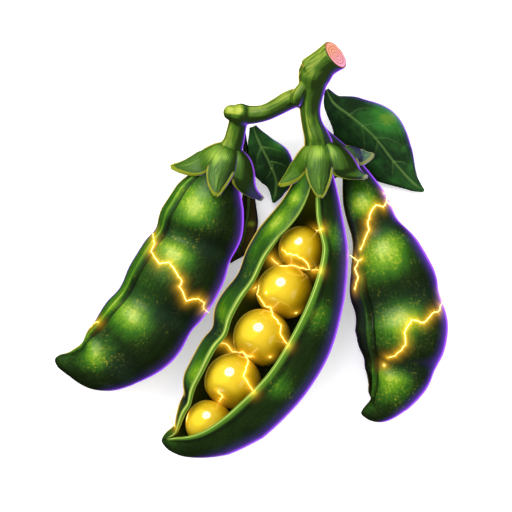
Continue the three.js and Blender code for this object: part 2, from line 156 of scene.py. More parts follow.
# How high a face looks up where a painted highlight and the painted shade of a valley begin and are full,
# and how far the skin's streaks are drawn out along a closed pod and along the open one
HIGHLIGHT_LEVEL = (0.25, 0.8)
OPEN_HIGHLIGHT_LEVEL = (0.2, 0.7)
VALLEY_LEVEL = (0.2, 0.7)
STREAKS_ALONG = 9
OPEN_STREAKS_ALONG = 8
# Where along a closed pod the line of light on its seam turns from gold to violet and back
VIOLET_SEAM_TOP = (0.30, 0.38)
VIOLET_SEAM_TIP = (0.78, 0.70)
VIOLET_SEAM = 0.7
# The open pod: its thickest wall as a share of its depth, its wall at the floor and the sag of its
# closed ends in millimetres, how much fuller the right lip is, how far its left edge and flank draw
# in at a valley, and how high and wide the beads along its lips are
MOST_WALL = 0.45
FLOOR_WALL = 2.1
WEB_SAG = 0.25
RIGHT_LIP_FULLER = 2.0
LEFT_EDGE_DIPS = 0.09
LEFT_FLANK_DIPS = 0.9
LIP_BEAD = 0.17
LIP_BEAD_REACH = 0.11

# The closed pods: their sections, where they draw in, where a highlight is painted on each swelling (x, y,
# radius), where the seam begins along the pod and round it, how much paler or darker the strip beyond the
# seam is, and how much painted violet and gold light lies along the edges
CLOSED_PODS = {
    "pod_left": {
        "rows": LEFT_POD,
        "valleys": [0.35, 0.565, 0.725],
        "highlight_spots": [(-12.1, 9.9, 4.6), (-16.4, 0.0, 4.8), (-25.6, -13.3, 5.2), (-33.2, -22.1, 3.8)],
        "seam top": (0.05, 0.14),
        "seam turn": math.radians(141.4),
        "band": 0.22,
        "violet": 0.85,
        "gold": 1.0,
    },
    "pod_right": {
        "rows": RIGHT_POD,
        "valleys": [0.265, 0.445, 0.675],
        "highlight_spots": [(24.6, 10.4, 3.4), (29.4, -0.2, 5.6), (33.0, -14.4, 5.6), (30.8, -28.8, 4.9)],
        "seam top": (0.34, 0.42),
        "seam turn": math.radians(133),
        "band": -0.06,
        "violet": 1.9,
        "gold": 0.1,
    },
}
# Where highlights are painted on the open pod: x, y, radius
CENTRE_HIGHLIGHTS = [
    (9.6, 11.5, 1.8), (5.2, 6.6, 3.2), (-1.0, -4.4, 3.6), (-6.4, -15.4, 3.4), (-11.8, -26.9, 3.0),
    (18.4, 3.0, 3.2), (14.4, -14.0, 3.4), (6.0, -29.6, 3.0),
]

# x, y, z of the middle of each pea, and its radius
PEAS = [
    (11.2, 0.2, 9.7, 5.1),
    (7.4, -9.2, 9.2, 6.2),
    (2.5, -19.2, 9.1, 6.4),
    (-3.9, -29.0, 9.0, 6.3),
    (-9.1, -38.2, 8.2, 5.3),
]
# How peas press on each other: the lean of the flat between two, how softly it rounds into the ball,
# and the gap that is left
PEA_LEAN = math.radians(30)
PEA_EDGE_ROUNDING = 0.3
PEA_GAP = 0.3
# The way a pea faces where its painted light is brightest
PEA_BRIGHTEST = np.array([-0.42, 0.30, 0.86])

# How pale a piece is painted by itself, where it faces the light, and on the parts that are named. Where it
# faces the light is painted light and shade. Most named parts are painted too: highlights on swellings, on
# the seam's bead, beside the left lip, on domes, at shine spots, on the knob's lobes and on a leaf's palest
# patch, the middle of a pea's painted light, paler ridges of the stem, and shade in valleys, in the notches
# between sepals and in the stem's grooves; a sepal's edge makes it darker towards its sides. It faces the
# light from
# "lit from" upwards, where 1 is straight at it.
CLOSED_TONE = {"base": 0.09, "lit": 0.19, "lit from": 0.45, "crown": 0.62, "valley": 0.16, "bead": 0.12}
OPEN_TONE = {"base": 0.17, "lit": 0.22, "lit from": 0.35, "crown": 0.38, "valley": 0.26, "lip": 0.12}
PEA_TONE = {"base": 0.1, "facing": 0.6, "middle": 0.3}
STEM_TONE = {"lit": 0.62, "lit from": 0.4, "ridge": 0.08, "lobe": 0.3}
SEPAL_TONE = {"lit": 0.5, "lit from": 0.45, "dome": 0.14, "shine": 0.24, "keel": 0.08, "notch": 0.3,
              "edge": 0.14}
LEAF_TONE = {"base": 0.12, "lit": 0.42, "lit from": 0.5, "patch": 0.5}

# Each row of a stalk is x, y, z, radius.
STALKS = {
    "cut end": [(18.6, 42.6, 15.7, 3.5), (16.2, 40.9, 15.1, 3.35), (13.0, 38.6, 14.3, 3.4)],
    "main": [
        (16.2, 40.9, 15.0, 3.1),
        (14.0, 37.9, 14.3, 3.6),
        (13.5, 34.9, 13.9, 2.8),
        (13.0, 30.6, 13.5, 2.3),
        (13.5, 27.4, 13.3, 2.35),
        (14.4, 24.8, 13.1, 2.8),
        (14.8, 23.2, 12.6, 3.2),
        (15.0, 21.4, 12.3, 3.3),
    ],
    "branch": [
        (13.4, 34.0, 13.8, 2.0),
        (8.8, 32.9, 13.4, 2.15),
        (5.8, 31.3, 12.8, 2.0),
        (2.9, 30.0, 12.2, 1.9),
        (-0.3, 29.6, 11.7, 2.1),
        (-2.4, 29.8, 11.3, 2.2),
    ],
    "left stalk": [(-2.3, 30.0, 11.3, 2.1), (-2.9, 27.4, 10.6, 2.1), (-3.8, 23.6, 9.8, 2.35),
                   (-4.3, 22.4, 9.5, 2.75), (-4.95, 20.9, 9.0, 3.25)],
    "right stalk": [(13.6, 28.6, 12.4, 1.5), (15.8, 25.6, 9.6, 1.5), (18.9, 22.8, 7.4, 1.6),
                    (20.4, 20.9, 6.8, 2.2)],
    "bud stub": [(12.4, 36.8, 14.8, 1.2), (10.3, 33.6, 15.6, 1.5), (9.6, 31.5, 15.3, 1.1)],
}
# The length over which the bark's grain runs along each stalk, in the order of the table
GRAIN_LENGTHS = [8, 18, 16, 7, 12, 5]
# How far the cut leans back for its height, and the way to its pink side
CUT_LEAN = 0.3
CUT_PINK_WAY = (0.6, -0.8, 0.0)
# Swellings of the stem (x, y, z, radius), the painted highlights on the tops of its knob's lobes (x, y,
# radius), and how far round them and how much the smoothing is held back
KNOBS = [(12.9, 39.0, 14.3, 2.45), (-2.2, 29.7, 12.0, 2.45), (-4.3, 30.1, 11.9, 1.75)]
LOBES = [(-4.5, 30.6, 1.1), (-2.4, 30.5, 1.3)]
LOBE_REACH = 2.5
LOBES_KEPT = 0.8
# The stem is melted together from voxels of this size. It is smoothed all over, and then more away
# from its cut. The distances from the cut say where that begins and is full, where the cut's lean
# does, and where the cut face does.
VOXEL = 0.19
SMOOTH_ALL = 4
SMOOTH_SOFT = 40
SOFT_FROM_CUT = (3.6, 4.6)
LEAN_FROM_CUT = (-2.5, 0.0)
CUT_FACE_DEPTH = (-0.35, -0.15)
# Ridges of the bark: for each set how many go round the stem, how high they stand, how much of the
# twist they take and where they start
RIDGES = [(6, 1.0, 1.0, 0.0), (11, 0.6, 0.6, 1.3)]

# The sepals of a calyx: the turn of each round the cap, half the turn that one takes up, the share of
# its length that lies on the cap, which way the cap flares, and where along it the twist sets in
SEPAL_TURNS = [math.radians(turn) for turn in (18, 90, 162, 234, 306)]
HALF_SEPAL = math.radians(36)
CAP_SHARE = 0.3
FLARE_TURN = math.radians(10)
FLARE_SPREAD = (0.65, 1.0)
SEPAL_TWIST_FROM = (-0.43, 0.3)
# How a cap opens and deepens from its top, and how a sepal swells, tapers and ends
CAP_OPENING = 0.55
CAP_DEEPENING = 1.7
CAP_BRIM = 0.8
SEPAL_SWELL = 0.8
SEPAL_TAPER = 0.85
SEPAL_POINT = 0.05
# The rim begins and is full at these shares of a sepal's half breadth. The keel is how wide and how
# high the fold along a sepal's middle is, and the hollow how far its face sinks, in millimetres.
RIM_FROM = (0.84, 0.96)
KEEL_WIDTH = 0.1
KEEL_HEIGHT = 0.1
SEPAL_HOLLOW = 0.10
# Each calyx: where its top is and the place it points towards, the radius and depth of its cap, how far
# the sepals rise as they leave it, where a highlight is painted on it (x, y, radius), how far the two halves
# of each sepal twist to look up, how far the cap flares, the painted violet light across it (from, to,
# strength), and each sepal's breadth and tip
CALYXES = {
    "calyx_left": {
        "top": (-4.1, 22.7, 9.4),
        "towards": (-8.9, 12.4, 7.9),
        "cap": (4.9, 4.6),
        "lift": 0.5,
        "shine": [(-7.7, 20.4, 1.3), (-5.4, 20.3, 1.0)],
        "twists": [(0, 0.4), (0.9, 0.9), (0.6, 0.6), (0, 0), (0, 0)],
        "flare": 0.5,
        "violet": (6.4, 9.5, 0.2),
        "breadths": (0.95, 1.0, 1.0, 1.0, 1.0),
        "tips": [(2.6, 11.2, 8.6), (-7.6, 11.9, 15.8), (-17.5, 18.3, 11.2), (-11.4, 17.6, 2.4),
                 (-3.8, 15.8, 2.8)],
    },
    "calyx_centre": {
        "top": (15.1, 23.4, 13.0),
        "towards": (14.8, 10.0, 11.0),
        "cap": (4.9, 4.6),
        "lift": 0.5,
        "shine": [(14.9, 21.3, 1.4), (16.8, 20.6, 1.0)],
        "twists": [(0, 0.4), (0.9, 0.9), (0.5, 0.5), (0, 0), (0, 0)],
        "flare": 0.65,
        "violet": (7.5, 11.0, 0.2),
        "breadths": (1.0, 1.0, 0.8, 1.0, 1.0),
        "tips": [(25.2, 15.9, 15.2), (15.1, 11.4, 18.2), (6.2, 14.2, 13.4), (9.6, 15.4, 7.4),
                 (17.4, 15.7, 7.9)],
    },
    "calyx_right": {
        "top": (19.6, 22.0, 6.9),
        "towards": (23.4, 16.4, 6.6),
        "cap": (3.4, 3.4),
        "lift": 0.45,
        "shine": [],
        "twists": [(0.6, 0.6), (0.9, 0.9), (0.6, 0.6), (0, 0), (0, 0)],
        "flare": 0.0,
        "violet": (1.0, 4.0, 0.2),
        "breadths": (1.0, 1.0, 1.0, 1.0, 1.0),
        "tips": [(27.0, 21.0, 7.6), (23.4, 16.6, 10.8), (19.5, 16.8, 7.0), (20.8, 17.2, 3.2),
                 (25.2, 19.2, 3.6)],
    },
}

# Each row of a leaf is x, y, z of its midrib, half width to the left and to the right, and how far
# the left and the right edge hang below it.
LEAVES = {
    "leaf_right": [
        (16.6, 35.0, 12.9, 0.6, 0.6, 0, 0),
        (18.2, 32.2, 11.6, 2.2, 2.2, 0.2, 1.2),
        (21.6, 29.7, 9.2, 4.6, 5.2, 0.8, 3.8),
        (27.1, 25.2, 5.6, 6.9, 8.0, 1.4, 4.0),
        (31.9, 19.3, 3.0, 4.9, 5.6, 1.0, 1.9),
        (35.9, 15.0, 1.5, 1.4, 1.8, 0.2, 0.4),
        (38.4, 13.1, 0.9, 0.3, 0.3, 0, 0),
    ],
    "leaf_left": [
        (0.5, 27.1, 8.8, 0.8, 0.8, 0, 0),
        (1.9, 23.6, 8.0, 2.7, 2.6, 0.5, 0.5),
        (4.0, 19.5, 6.4, 4.9, 4.2, 1.0, 1.0),
        (5.6, 15.6, 4.5, 4.2, 3.0, 0.9, 0.9),
        (5.6, 13.0, 3.2, 1.8, 1.2, 0.3, 0.3),
        (5.1, 10.6, 2.2, 0.3, 0.3, 0, 0),
    ],
    "leaf_back": [
        (-1.7, 26.6, 7.2, 0.5, 0.5, 0, 0),
        (-0.9, 20.6, 4.4, 0.6, 0.6, 0, 0),
        (-0.6, 14.9, 2.3, 0.8, 0.8, 0, 0),
        (-0.5, 9.6, 1.3, 1.6, 1.6, 0, 0),
        (-1.0, 5.6, 0.9, 2.5, 2.5, 0, 0),
        (-2.2, 1.2, 0.8, 2.2, 2.2, 0, 0),
        (-4.6, -2.8, 0.8, 0.3, 0.3, 0, 0),
    ],
}
# How wide the side veins and the midrib are, how high the midrib stands, how high the leaf puffs up
# between its veins and how far off them it starts, all in millimetres, then how much a vein fades
# outwards and how its edges curve down
VEIN_WIDTH = 0.09
RIB_WIDTH = 0.11
RIB_HEIGHT = 0.12
LEAF_PUFF = 0.30
PUFF_FROM_VEIN = 1.3
PUFF_FROM_RIB = 1.2
VEIN_FADE = 0.7
LEAF_HANG = 1.4
# Side veins, seen from above, from the midrib outwards
VEINS = {
    "leaf_right": [
        [(21.5, 29.9), (23.5, 31.2), (26.3, 31.5)],
        [(24.3, 27.6), (27.9, 28.2), (32.2, 27.2)],
        [(27.4, 25.0), (30.1, 24.9), (33.2, 23.4)],
        [(31.6, 19.7), (33.2, 19.7), (34.5, 19.1)],
        [(24.4, 27.4), (25.0, 24.1), (25.0, 21.6)],
        [(28.0, 24.0), (27.7, 22.6), (27.4, 20.6)],
        [(31.4, 19.8), (31.5, 18.0), (31.4, 16.6)],
    ],
    "leaf_left": [
        [(2.6, 22.8), (4.6, 22.6), (7.3, 21.7)],
        [(4.4, 19.7), (6.4, 19.3), (8.6, 18.0)],
        [(2.4, 23.0), (1.5, 21.1), (1.3, 19.5)],
        [(4.8, 19.1), (4.2, 17.3), (3.3, 16.0)],
    ],
    "leaf_back": [],
}
PATCH_SQUEEZE = 1.6
# Where light is painted on each leaf as its palest patch: x, y, radius. It is squeezed along y.
LEAF_PATCHES = {
    "leaf_right": (29.8, 29.2, 4.8),
    "leaf_left": (6.2, 23.6, 2.2),
    "leaf_back": (0.0, 6.0, 1.0),
}

# Sparks that run over the sprig, seen from above
ARCS = [
    [(-22.4, 5.3), (-21.5, 3.5), (-21.1, 1.6), (-21.9, -0.2), (-20.0, -2.9), (-17.8, -2.5),
     (-16.5, -4.5), (-15.1, -6.7), (-15.7, -7.8), (-14.7, -9.5), (-14.1, -11.0), (-11.6, -10.5),
     (-10.2, -11.4), (-10.4, -12.7), (-9.2, -13.7)],
    [(-35.5, -16.9), (-34.8, -16.1), (-33.5, -15.6)],
    [(6.8, 0.3), (7.9, -0.7), (10.0, -0.9), (12.3, -2.7), (12.9, -4.1), (15.2, -4.3)],
    [(14.4, 4.4), (15.6, 4.8)],
    [(4.5, -1.6), (6.4, -3.3), (8.9, -3.2), (10.8, -3.8), (12.9, -4.1)],
    [(0.5, -8.5), (1.7, -7.7), (1.3, -9.6), (3.0, -12.1), (4.3, -12.3), (4.7, -14.2), (6.6, -16.3),
     (6.4, -18.0), (7.3, -19.7), (8.1, -20.6)],
    [(-6.6, -20.4), (-5.4, -20.7), (-4.1, -22.4), (-1.8, -22.2), (-0.6, -24.1), (-1.6, -27.5),
     (-0.1, -29.8), (0.6, -30.9)],
    [(-1.8, -22.2), (-0.7, -23.2), (0.4, -23.1)],
    [(-7.3, -30.6), (-6.2, -32.1), (-7.0, -33.2)],
    [(-13.8, -35.9), (-14.2, -37.4)],
    [(-16.1, -34.6), (-18.0, -35.9), (-17.6, -37.2), (-16.7, -38.6)],
    [(21.7, -0.9), (23.5, -2.3), (22.8, -3.9), (23.5, -5.8), (22.8, -8.3)],
    [(23.5, -2.3), (24.3, -1.8)],
    [(29.2, 12.6), (30.0, 12.8), (29.8, 10.9), (29.0, 9.6), (27.4, 10.0), (26.2, 8.3), (25.6, 5.9),
     (25.9, 4.5), (24.8, 2.2), (24.1, 0.4)],
    [(29.8, 10.9), (30.8, 10.1), (31.9, 9.3)],
    [(42.1, -9.2), (42.6, -9.8), (42.0, -11.6), (41.0, -13.4), (39.6, -13.8), (37.8, -15.7),
     (35.1, -15.1), (33.5, -17.9), (33.7, -20.6), (31.5, -23.0), (30.0, -23.4)],
]
SPARK_DOTS = [(3.3, -9.2), (9.9, -13.6), (4.2, -23.2), (29.2, -25.1), (14.4, 4.4), (22.8, -8.3),
              (24.1, 0.4)]
# The length of a spark's steps and how far they stray, in millimetres, and, in shares of its own
# radius, how high it lies, how thin its ends are and how big the bead at its end is
SPARK_STEP = 0.7
SPARK_STRAY = 0.16
SPARK_LIFT = 0.4
SPARK_END = 0.45
SPARK_DOT = 1.7
# The light that a spark throws: how strong it is and how far it reaches, close by and farther off
SPARK_HALO = [(0.75, 0.55), (0.35, 1.5)]

# Faces of each piece
POD_AROUND, POD_ALONG = 240, 200
SHELL_OUTSIDE, SHELL_LIP, SHELL_INSIDE, SHELL_ALONG = 110, 18, 50, 200
PEA_AROUND, PEA_ALONG = 96, 64
STALK_SAMPLES = 60
SEPAL_GRID = (24, 60)
LEAF_GRID = (96, 190)
# Samples along a vein, points of sparks that are compared at once, and a distance past any piece
VEIN_SAMPLES = 50
SPOTS_AT_ONCE = 40
FAR_OFF = 99.0

# Directions of the light, as seen from above
LIT_FROM = np.array([-0.38, 0.46, 0.80])
VIOLET_FROM = np.array([0.90, -0.32])
GOLD_FROM = np.array([-0.85, 0.5])

# How square to a light a face begins to catch it and catches it all, and how high it may look up, where
# 1 is straight up, and still catch it. A face that looks down catches none.
VIOLET_FACING = (0.1, 0.75)
VIOLET_LEVEL = (0.82, 0.12)
VIOLET_FADE = 1.3
VIOLET_LINE_LEVEL = (0.46, 0.16)
GOLD_FACING = (0.25, 0.8)
GOLD_REACH = 0.42
POD_GOLD_REACH = 0.3
UNDER_FACES = (-0.14, 0.02)
LEAST_SIDEWAYS = 0.2

NO_LIGHT = (0.0, 0.0, 0.0)
WHITE = (1.0, 1.0, 1.0)
VIOLET_SHADE = (0.030, 0.012, 0.060)
SPARK_AMBER = "ffd860"
OLD_LEAF_SHADE = "14160a"

# Camera and stage, and the height from which the sparks are laid on the sprig, all in metres
CAMERA_MIDDLE = (1.1 * MM, -1.155 * MM)
CAMERA_HEIGHT = 0.8
VIEW_WIDTH = 112.64 * MM
VIEW_LEVEL = 9 * MM
SENSOR_WIDTH = 36.0
FLOOR_SIZE = 6.0
FARTHEST_SEEN = 10
LOOK_DOWN_FROM = 0.1
# Each lamp: the way to it, how far off it stands and how wide it is, in metres
LAMPS = {
    "key": ((-0.24, 0.63, 0.73), 0.55, 0.34),
    "fill": ((0.7, -0.2, 0.7), 0.9, 0.6),
    "gloss": ((-0.24, 0.63, 0.73), 0.55, 0.36),
}


def paint(code):
    """Turn a web colour such as 3f7d1d into the colour numbers that Blender mixes with."""
    parts = [int(code[place:place + 2], 16) / 255 for place in (0, 2, 4)]
    return tuple(part / 12.92 if part <= 0.04045 else ((part + 0.055) / 1.055) ** 2.4
                 for part in parts)


def origin_shift():
    """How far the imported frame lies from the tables, read from where the first pea is."""
    low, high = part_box("pea_1")
    x, y, _, radius = PEAS[0]
    return np.array([low[0] / MM + radius - x, high[1] / MM - radius - y, 0.0])


SHIFT = origin_shift()


class Rail:
    """A smooth line through rows of numbers, read by the share of its rows."""

    def __init__(self, rows, even=False):
        self.rows = np.array(rows, float)
        self.even = even

    def at(self, share):
        rows = self.rows
        place = np.clip(np.asarray(share, float), 0, 1) * (len(rows) - 1)
        first = np.minimum(place.astype(int), len(rows) - 2)
        part = (place - first)[..., None]
        line = np.vstack([2 * rows[0] - rows[1], rows, 2 * rows[-1] - rows[-2]])
        before, start, end, after = (line[first + step] for step in range(4))
        gap_before, gap, gap_after = self._gaps(before, start, end, after)
        slope = (end - start) / gap
        leave = (start - before) / gap_before - (end - before) / (gap_before + gap) + slope
        arrive = slope - (after - start) / (gap + gap_after) + (after - end) / gap_after
        leave, arrive = leave * gap, arrive * gap
        square = 3 * (end - start) - 2 * leave - arrive
        cube = 2 * (start - end) + leave + arrive
        return start + part * (leave + part * (square + part * cube))

    def _gaps(self, *points):
        """The steps between four points in a row, each the root of its length unless they are even."""
        gaps = []
        for near, far in zip(points, points[1:]):
            gap = np.sum((far - near) ** 2, axis=-1, keepdims=True) ** 0.25
            gaps.append(np.ones_like(gap) if self.even else gap)
        middle = np.where(gaps[1] < 1e-4, 1.0, gaps[1])
        return [np.where(gap < 1e-4, middle, gap) for gap in (gaps[0], middle, gaps[2])]

    def heading(self, share):
        step = 1e-4
        share = np.asarray(share, float)
        ahead = self.at(np.minimum(share + step, 1)) - self.at(np.maximum(share - step, 0))
        return unit(ahead)


def unit(vectors):
    return vectors / np.maximum(np.linalg.norm(vectors, axis=-1, keepdims=True), 1e-12)


def frame_on(rail, share):
    """A point of a line, with the directions forward, level across and up at it."""
    forward = rail.heading(share)
    flat = np.stack([-forward[..., 1], forward[..., 0], np.zeros_like(forward[..., 0])], axis=-1)
    across = unit(flat)
    return rail.at(share), forward, across, unit(np.cross(forward, across))


def smooth(low, high, value):
    """0 at low, 1 at high, and smooth between."""
    part = np.clip((np.asarray(value, float) - low) / (high - low), 0, 1)
    return part * part * (3 - 2 * part)


def hump(distance, reach):
    """1 at no distance, and fading off over the reach."""
    return np.exp(-(np.asarray(distance) / reach) ** 2)


def blend(low, high, share):
    return low + (high - low) * share


def deselect():
    for piece in bpy.context.selected_objects:
        piece.select_set(False)


def choose(*pieces):
    deselect()
    for piece in pieces:
        piece.select_set(True)
    bpy.context.view_layer.objects.active = pieces[0]


def named(name):
    """Name the piece that was just made."""
    piece = bpy.context.object
    piece.name = name
    piece.data.name = name
    return piece


def skin_name(node):
    return f"{node}_skin"


def read_points(piece, key):
    numbers = np.empty(len(piece.data.vertices) * 3)
    piece.data.vertices.foreach_get(key, numbers)
    return numbers.reshape(-1, 3)


def points_of(piece):
    return read_points(piece, "co")


def normals_of(piece):
    return read_points(piece, "normal")


def move_points(piece, points):
    """Put the piece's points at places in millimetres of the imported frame."""
    piece.data.vertices.foreach_set("co", (points * MM).ravel())
    piece.data.update()


def within_box(points):
    """Keep points in millimetres inside the box of the plain solids."""
    low, high = np.array(CAD_BOX) / MM
    return np.clip(points, low, high)


def mark(piece, name, values):
    """Store a number, or a direction, at every point of the piece for its material."""
    values = np.asarray(values, float)
    kind, key = ("FLOAT_VECTOR", "vector") if values.ndim == 2 else ("FLOAT", "value")
    layer = piece.data.attributes.get(name) or piece.data.attributes.new(name, kind, "POINT")
    layer.data.foreach_set(key, values.ravel())


def marked(piece, name):
    numbers = np.empty(len(piece.data.vertices))
    piece.data.attributes[name].data.foreach_get("value", numbers)
    return numbers


def mark_grain(piece, *parts):
    """Store the coordinates that streaks follow, at every point of the piece."""
    mark(piece, "grain", np.stack(parts, axis=1))


def keep_share(piece, share, *lights):
    """Keep only a share of the lights that the piece's points carry."""
    for light in lights:
        mark(piece, light, marked(piece, light) * share)


def add_ball(name, around, along):
    """A ball whose columns run round the piece and whose rows run from its top to its tip."""
    deselect()
    bpy.ops.mesh.primitive_uv_sphere_add(segments=around, ring_count=along, radius=1)
    piece = named(name)
    place = points_of(piece)
    turn = np.arctan2(place[:, 1], place[:, 0]) % (2 * math.pi)
    row = np.arccos(np.clip(place[:, 2], -1, 1)) / math.pi
    return piece, turn, row


def add_sheet(name, columns, rows):
    """A sheet whose side runs from -1 at the left to 1 at the right, and whose run goes from 0 to 1."""
    deselect()
    bpy.ops.mesh.primitive_grid_add(x_subdivisions=columns, y_subdivisions=rows, size=2)
    piece = named(name)
    place = points_of(piece)
    return piece, place[:, 0], (1 - place[:, 1]) / 2


def apply(piece, kind, **settings):
    choose(piece)
    modifier = piece.modifiers.new(kind.title(), kind)
    for key, value in settings.items():
        setattr(modifier, key, value)
    bpy.ops.object.modifier_apply(modifier=modifier.name)


def edit_all(piece, *steps):
    """Select all of the piece's mesh and run the steps on it."""
    choose(piece)
    bpy.ops.object.mode_set(mode="EDIT")
    bpy.ops.mesh.select_all(action="SELECT")
    for step in steps:
        step()
    bpy.ops.object.mode_set(mode="OBJECT")


def turn_out():
    bpy.ops.mesh.normals_make_consistent(inside=False)


def merge_and_turn_out(piece, reach=0.001):
    """Merge points that lie together and point every face outwards."""
    edit_all(piece, lambda: bpy.ops.mesh.remove_doubles(threshold=reach * MM), turn_out)


def thread_through(name, places, radii, roundness):
    """A round thread with flat ends through places in millimetres, with its radius at each."""
    curve = bpy.data.curves.new(name, "CURVE")
    curve.dimensions = "3D"
    curve.bevel_depth = MM
    curve.bevel_resolution = roundness
    curve.use_fill_caps = True
    line = curve.splines.new("POLY")
    line.points.add(len(places) - 1)
    for point, place, radius in zip(line.points, places, radii):
        point.co = (*(np.array(place) * MM), 1.0)
        point.radius = radius
    thread = bpy.data.objects.new(name, curve)
    bpy.context.collection.objects.link(thread)
    choose(thread)
    bpy.ops.object.convert(target="MESH")
    return bpy.context.object


def settle(piece, material, slot, *nodes):
    """Give the piece its finish and its place on the sprig, and hide the plain solids it stands for."""
    piece.data.materials.clear()
    piece.data.materials.append(material)
    choose(piece)
    bpy.ops.object.shade_smooth()
    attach(piece, "root")
    if nodes:
        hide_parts(*nodes)


def mark_light(piece, violet=1.0, gold=1.0, reach=GOLD_REACH):
    """Mark where the painted violet light and the painted gold line of light lie along the edges of the
    piece, and how squarely each face looks at the light.
    """
    normals = normals_of(piece)
    flat, level = normals[:, :2], normals[:, 2]
    sideways = np.maximum(np.linalg.norm(flat, axis=1), LEAST_SIDEWAYS)
    above = smooth(*UNDER_FACES, level)
    to_violet = violet * above * smooth(*VIOLET_FACING, flat @ VIOLET_FROM / sideways)
    to_gold = smooth(*GOLD_FACING, flat @ GOLD_FROM / sideways)
    mark(piece, "violet", np.clip(to_violet * smooth(*VIOLET_LEVEL, level) ** VIOLET_FADE, 0, 1))
    mark(piece, "violet_line", np.clip(to_violet * smooth(*VIOLET_LINE_LEVEL, level), 0, 1))
    mark(piece, "gold_line", gold * above * to_gold * smooth(reach, reach / 3, level))
    mark(piece, "lit", np.clip(normals @ unit(LIT_FROM), 0, 1))


def spots_at(points, highlight_spots):
    """1 at the middle of each spot, seen from above, and fading off over its radius."""
    total = np.zeros(len(points))
    for x, y, radius in highlight_spots:
        apart = np.hypot(points[:, 0] - x, points[:, 1] - y)
        total = np.maximum(total, hump(apart, radius))
    return total


class Wire:
    """A value in a material. A sum written with it adds the Math node that works it out."""

    def __init__(self, recipe, socket):
        self.recipe = recipe
        self.socket = socket

    def _maths(self, operation, *values):
        return self.recipe.node("ShaderNodeMath", {"operation": operation}, dict(enumerate(values)))[0]

    def __add__(self, other):
        return self._maths("ADD", self, other)

    def __radd__(self, other):
        return self._maths("ADD", other, self)

    def __sub__(self, other):
        return self._maths("SUBTRACT", self, other)

    def __rsub__(self, other):
        return self._maths("SUBTRACT", other, self)

    def __mul__(self, other):
        return self._maths("MULTIPLY", self, other)

    def __rmul__(self, other):
        return self._maths("MULTIPLY", other, self)


class Recipe:
    """A material and its nodes."""

    def __init__(self, name, **constants):
        self.material = bpy.data.materials.new(name)
        self.material.use_nodes = True
        self.tree = self.material.node_tree
        self.shader = self.tree.nodes["Principled BSDF"]
        for socket, value in constants.items():
            self.feed(self.shader.inputs[socket.replace("_", " ")], value)

    def node(self, kind, settings=None, sockets=None):
        """Add a node, with its settings first and then the values or wires of its sockets."""
        node = self.tree.nodes.new(kind)
        for key, value in (settings or {}).items():
            if key == "stops":
                self._set_stops(node.color_ramp, value)
            else:
                setattr(node, key, value)
        for key, value in (sockets or {}).items():
            self.feed(node.inputs[key], value)
        return [Wire(self, socket) for socket in node.outputs]

    def _set_stops(self, ramp, stops):
        while len(ramp.elements) < len(stops):
            ramp.elements.new(1.0)
        for element, (place, colour) in zip(ramp.elements, stops):
            element.position = place
            element.color = (*colour, 1.0)

    def feed(self, socket, value):
        if isinstance(value, Wire):
            self.tree.links.new(value.socket, socket)
        elif socket.type == "RGBA":
            socket.default_value = (*value[:3], 1.0)
        else:
            socket.default_value = value

    def mark(self, name):
        """The number that a piece's points carry under this name."""
        return self.node("ShaderNodeAttribute", {"attribute_name": name})[2]

    def mark_direction(self, name):
        """The direction that a piece's points carry under this name."""
        return self.node("ShaderNodeAttribute", {"attribute_name": name})[1]

    def place(self):
        """The place of a point on the piece, in metres."""
        return self.node("ShaderNodeTexCoord")[3]

    def between(self, operation, first, second):
        """A sum worked out on two vectors."""
        return self.node("ShaderNodeVectorMath", {"operation": operation}, {0: first, 1: second})

    def noise(self, where, scale, detail, roughness):
        sockets = {"Vector": where, "Scale": scale, "Detail": detail, "Roughness": roughness}
        return self.node("ShaderNodeTexNoise", None, sockets)[0]

    def step(self, value, low, high):
        """0 below low, 1 above high, and smooth between."""
        sockets = {"Value": value, "From Min": low, "From Max": high}
        return self.node("ShaderNodeMapRange", {"interpolation_type": "SMOOTHSTEP"}, sockets)[0]

    def mix(self, share, first, second, way="MIX"):
        """Mix two colours."""
        settings = {"data_type": "RGBA", "blend_type": way, "clamp_factor": True}
        return self.node("ShaderNodeMix", settings, {0: share, 6: first, 7: second})[2]

    def ramp(self, value, stops):
        return self.node("ShaderNodeValToRGB", {"stops": stops}, {0: value})[0]

    def bump(self, height, strength, distance):
        sockets = {"Height": height, "Strength": strength, "Distance": distance}
        return self.node("ShaderNodeBump", None, sockets)[0]

    def finish(self, **sockets):
        for socket, value in sockets.items():
            self.feed(self.shader.inputs[socket.replace("_", " ")], value)
        return self.material


def edge_glow(recipe, looks):
    """The violet and gold light along a piece's edges, and the warm light that the sparks throw."""
    lights = [
        (recipe.mark("violet") * looks.violet_strength, looks.violet_deep),
        (recipe.mark("violet_line") * looks.violet_strength, looks.violet_bright),
        (recipe.mark("gold_line") * looks.gold_strength, looks.gold_line),
        (recipe.mark("spark"), looks.spark_light),
    ]
    soft, line, gold, spark = (recipe.mix(share, NO_LIGHT, colour) for share, colour in lights)
    edges = recipe.mix(1.0, soft, line, "ADD")
    warm = recipe.mix(1.0, gold, spark, "ADD")
    return recipe.mix(1.0, edges, warm, "ADD")


def finish_skin(recipe, edge, **sockets):
    """Finish a skin that the edge light and the sparks shine on."""
    return recipe.finish(Emission_Color=edge_glow(recipe, edge), Emission_Strength=1.0, **sockets)


def length_setting(label, about, value):
    return bpy.props.FloatProperty(name=label, description=about, default=value * MM,
                                   subtype="DISTANCE", unit="LENGTH")


def share_setting(label, about, value):
    return bpy.props.FloatProperty(name=label, description=about, default=value, min=0.0,
                                   subtype="FACTOR")


def power_setting(label, about, value):
    return bpy.props.FloatProperty(name=label, description=about, default=value, min=0.0,
                                   subtype="POWER", unit="POWER")


def colour_setting(label, about, code):
    return bpy.props.FloatVectorProperty(name=label, description=about, default=paint(code), size=3,
                                         min=0.0, max=1.0, subtype="COLOR")


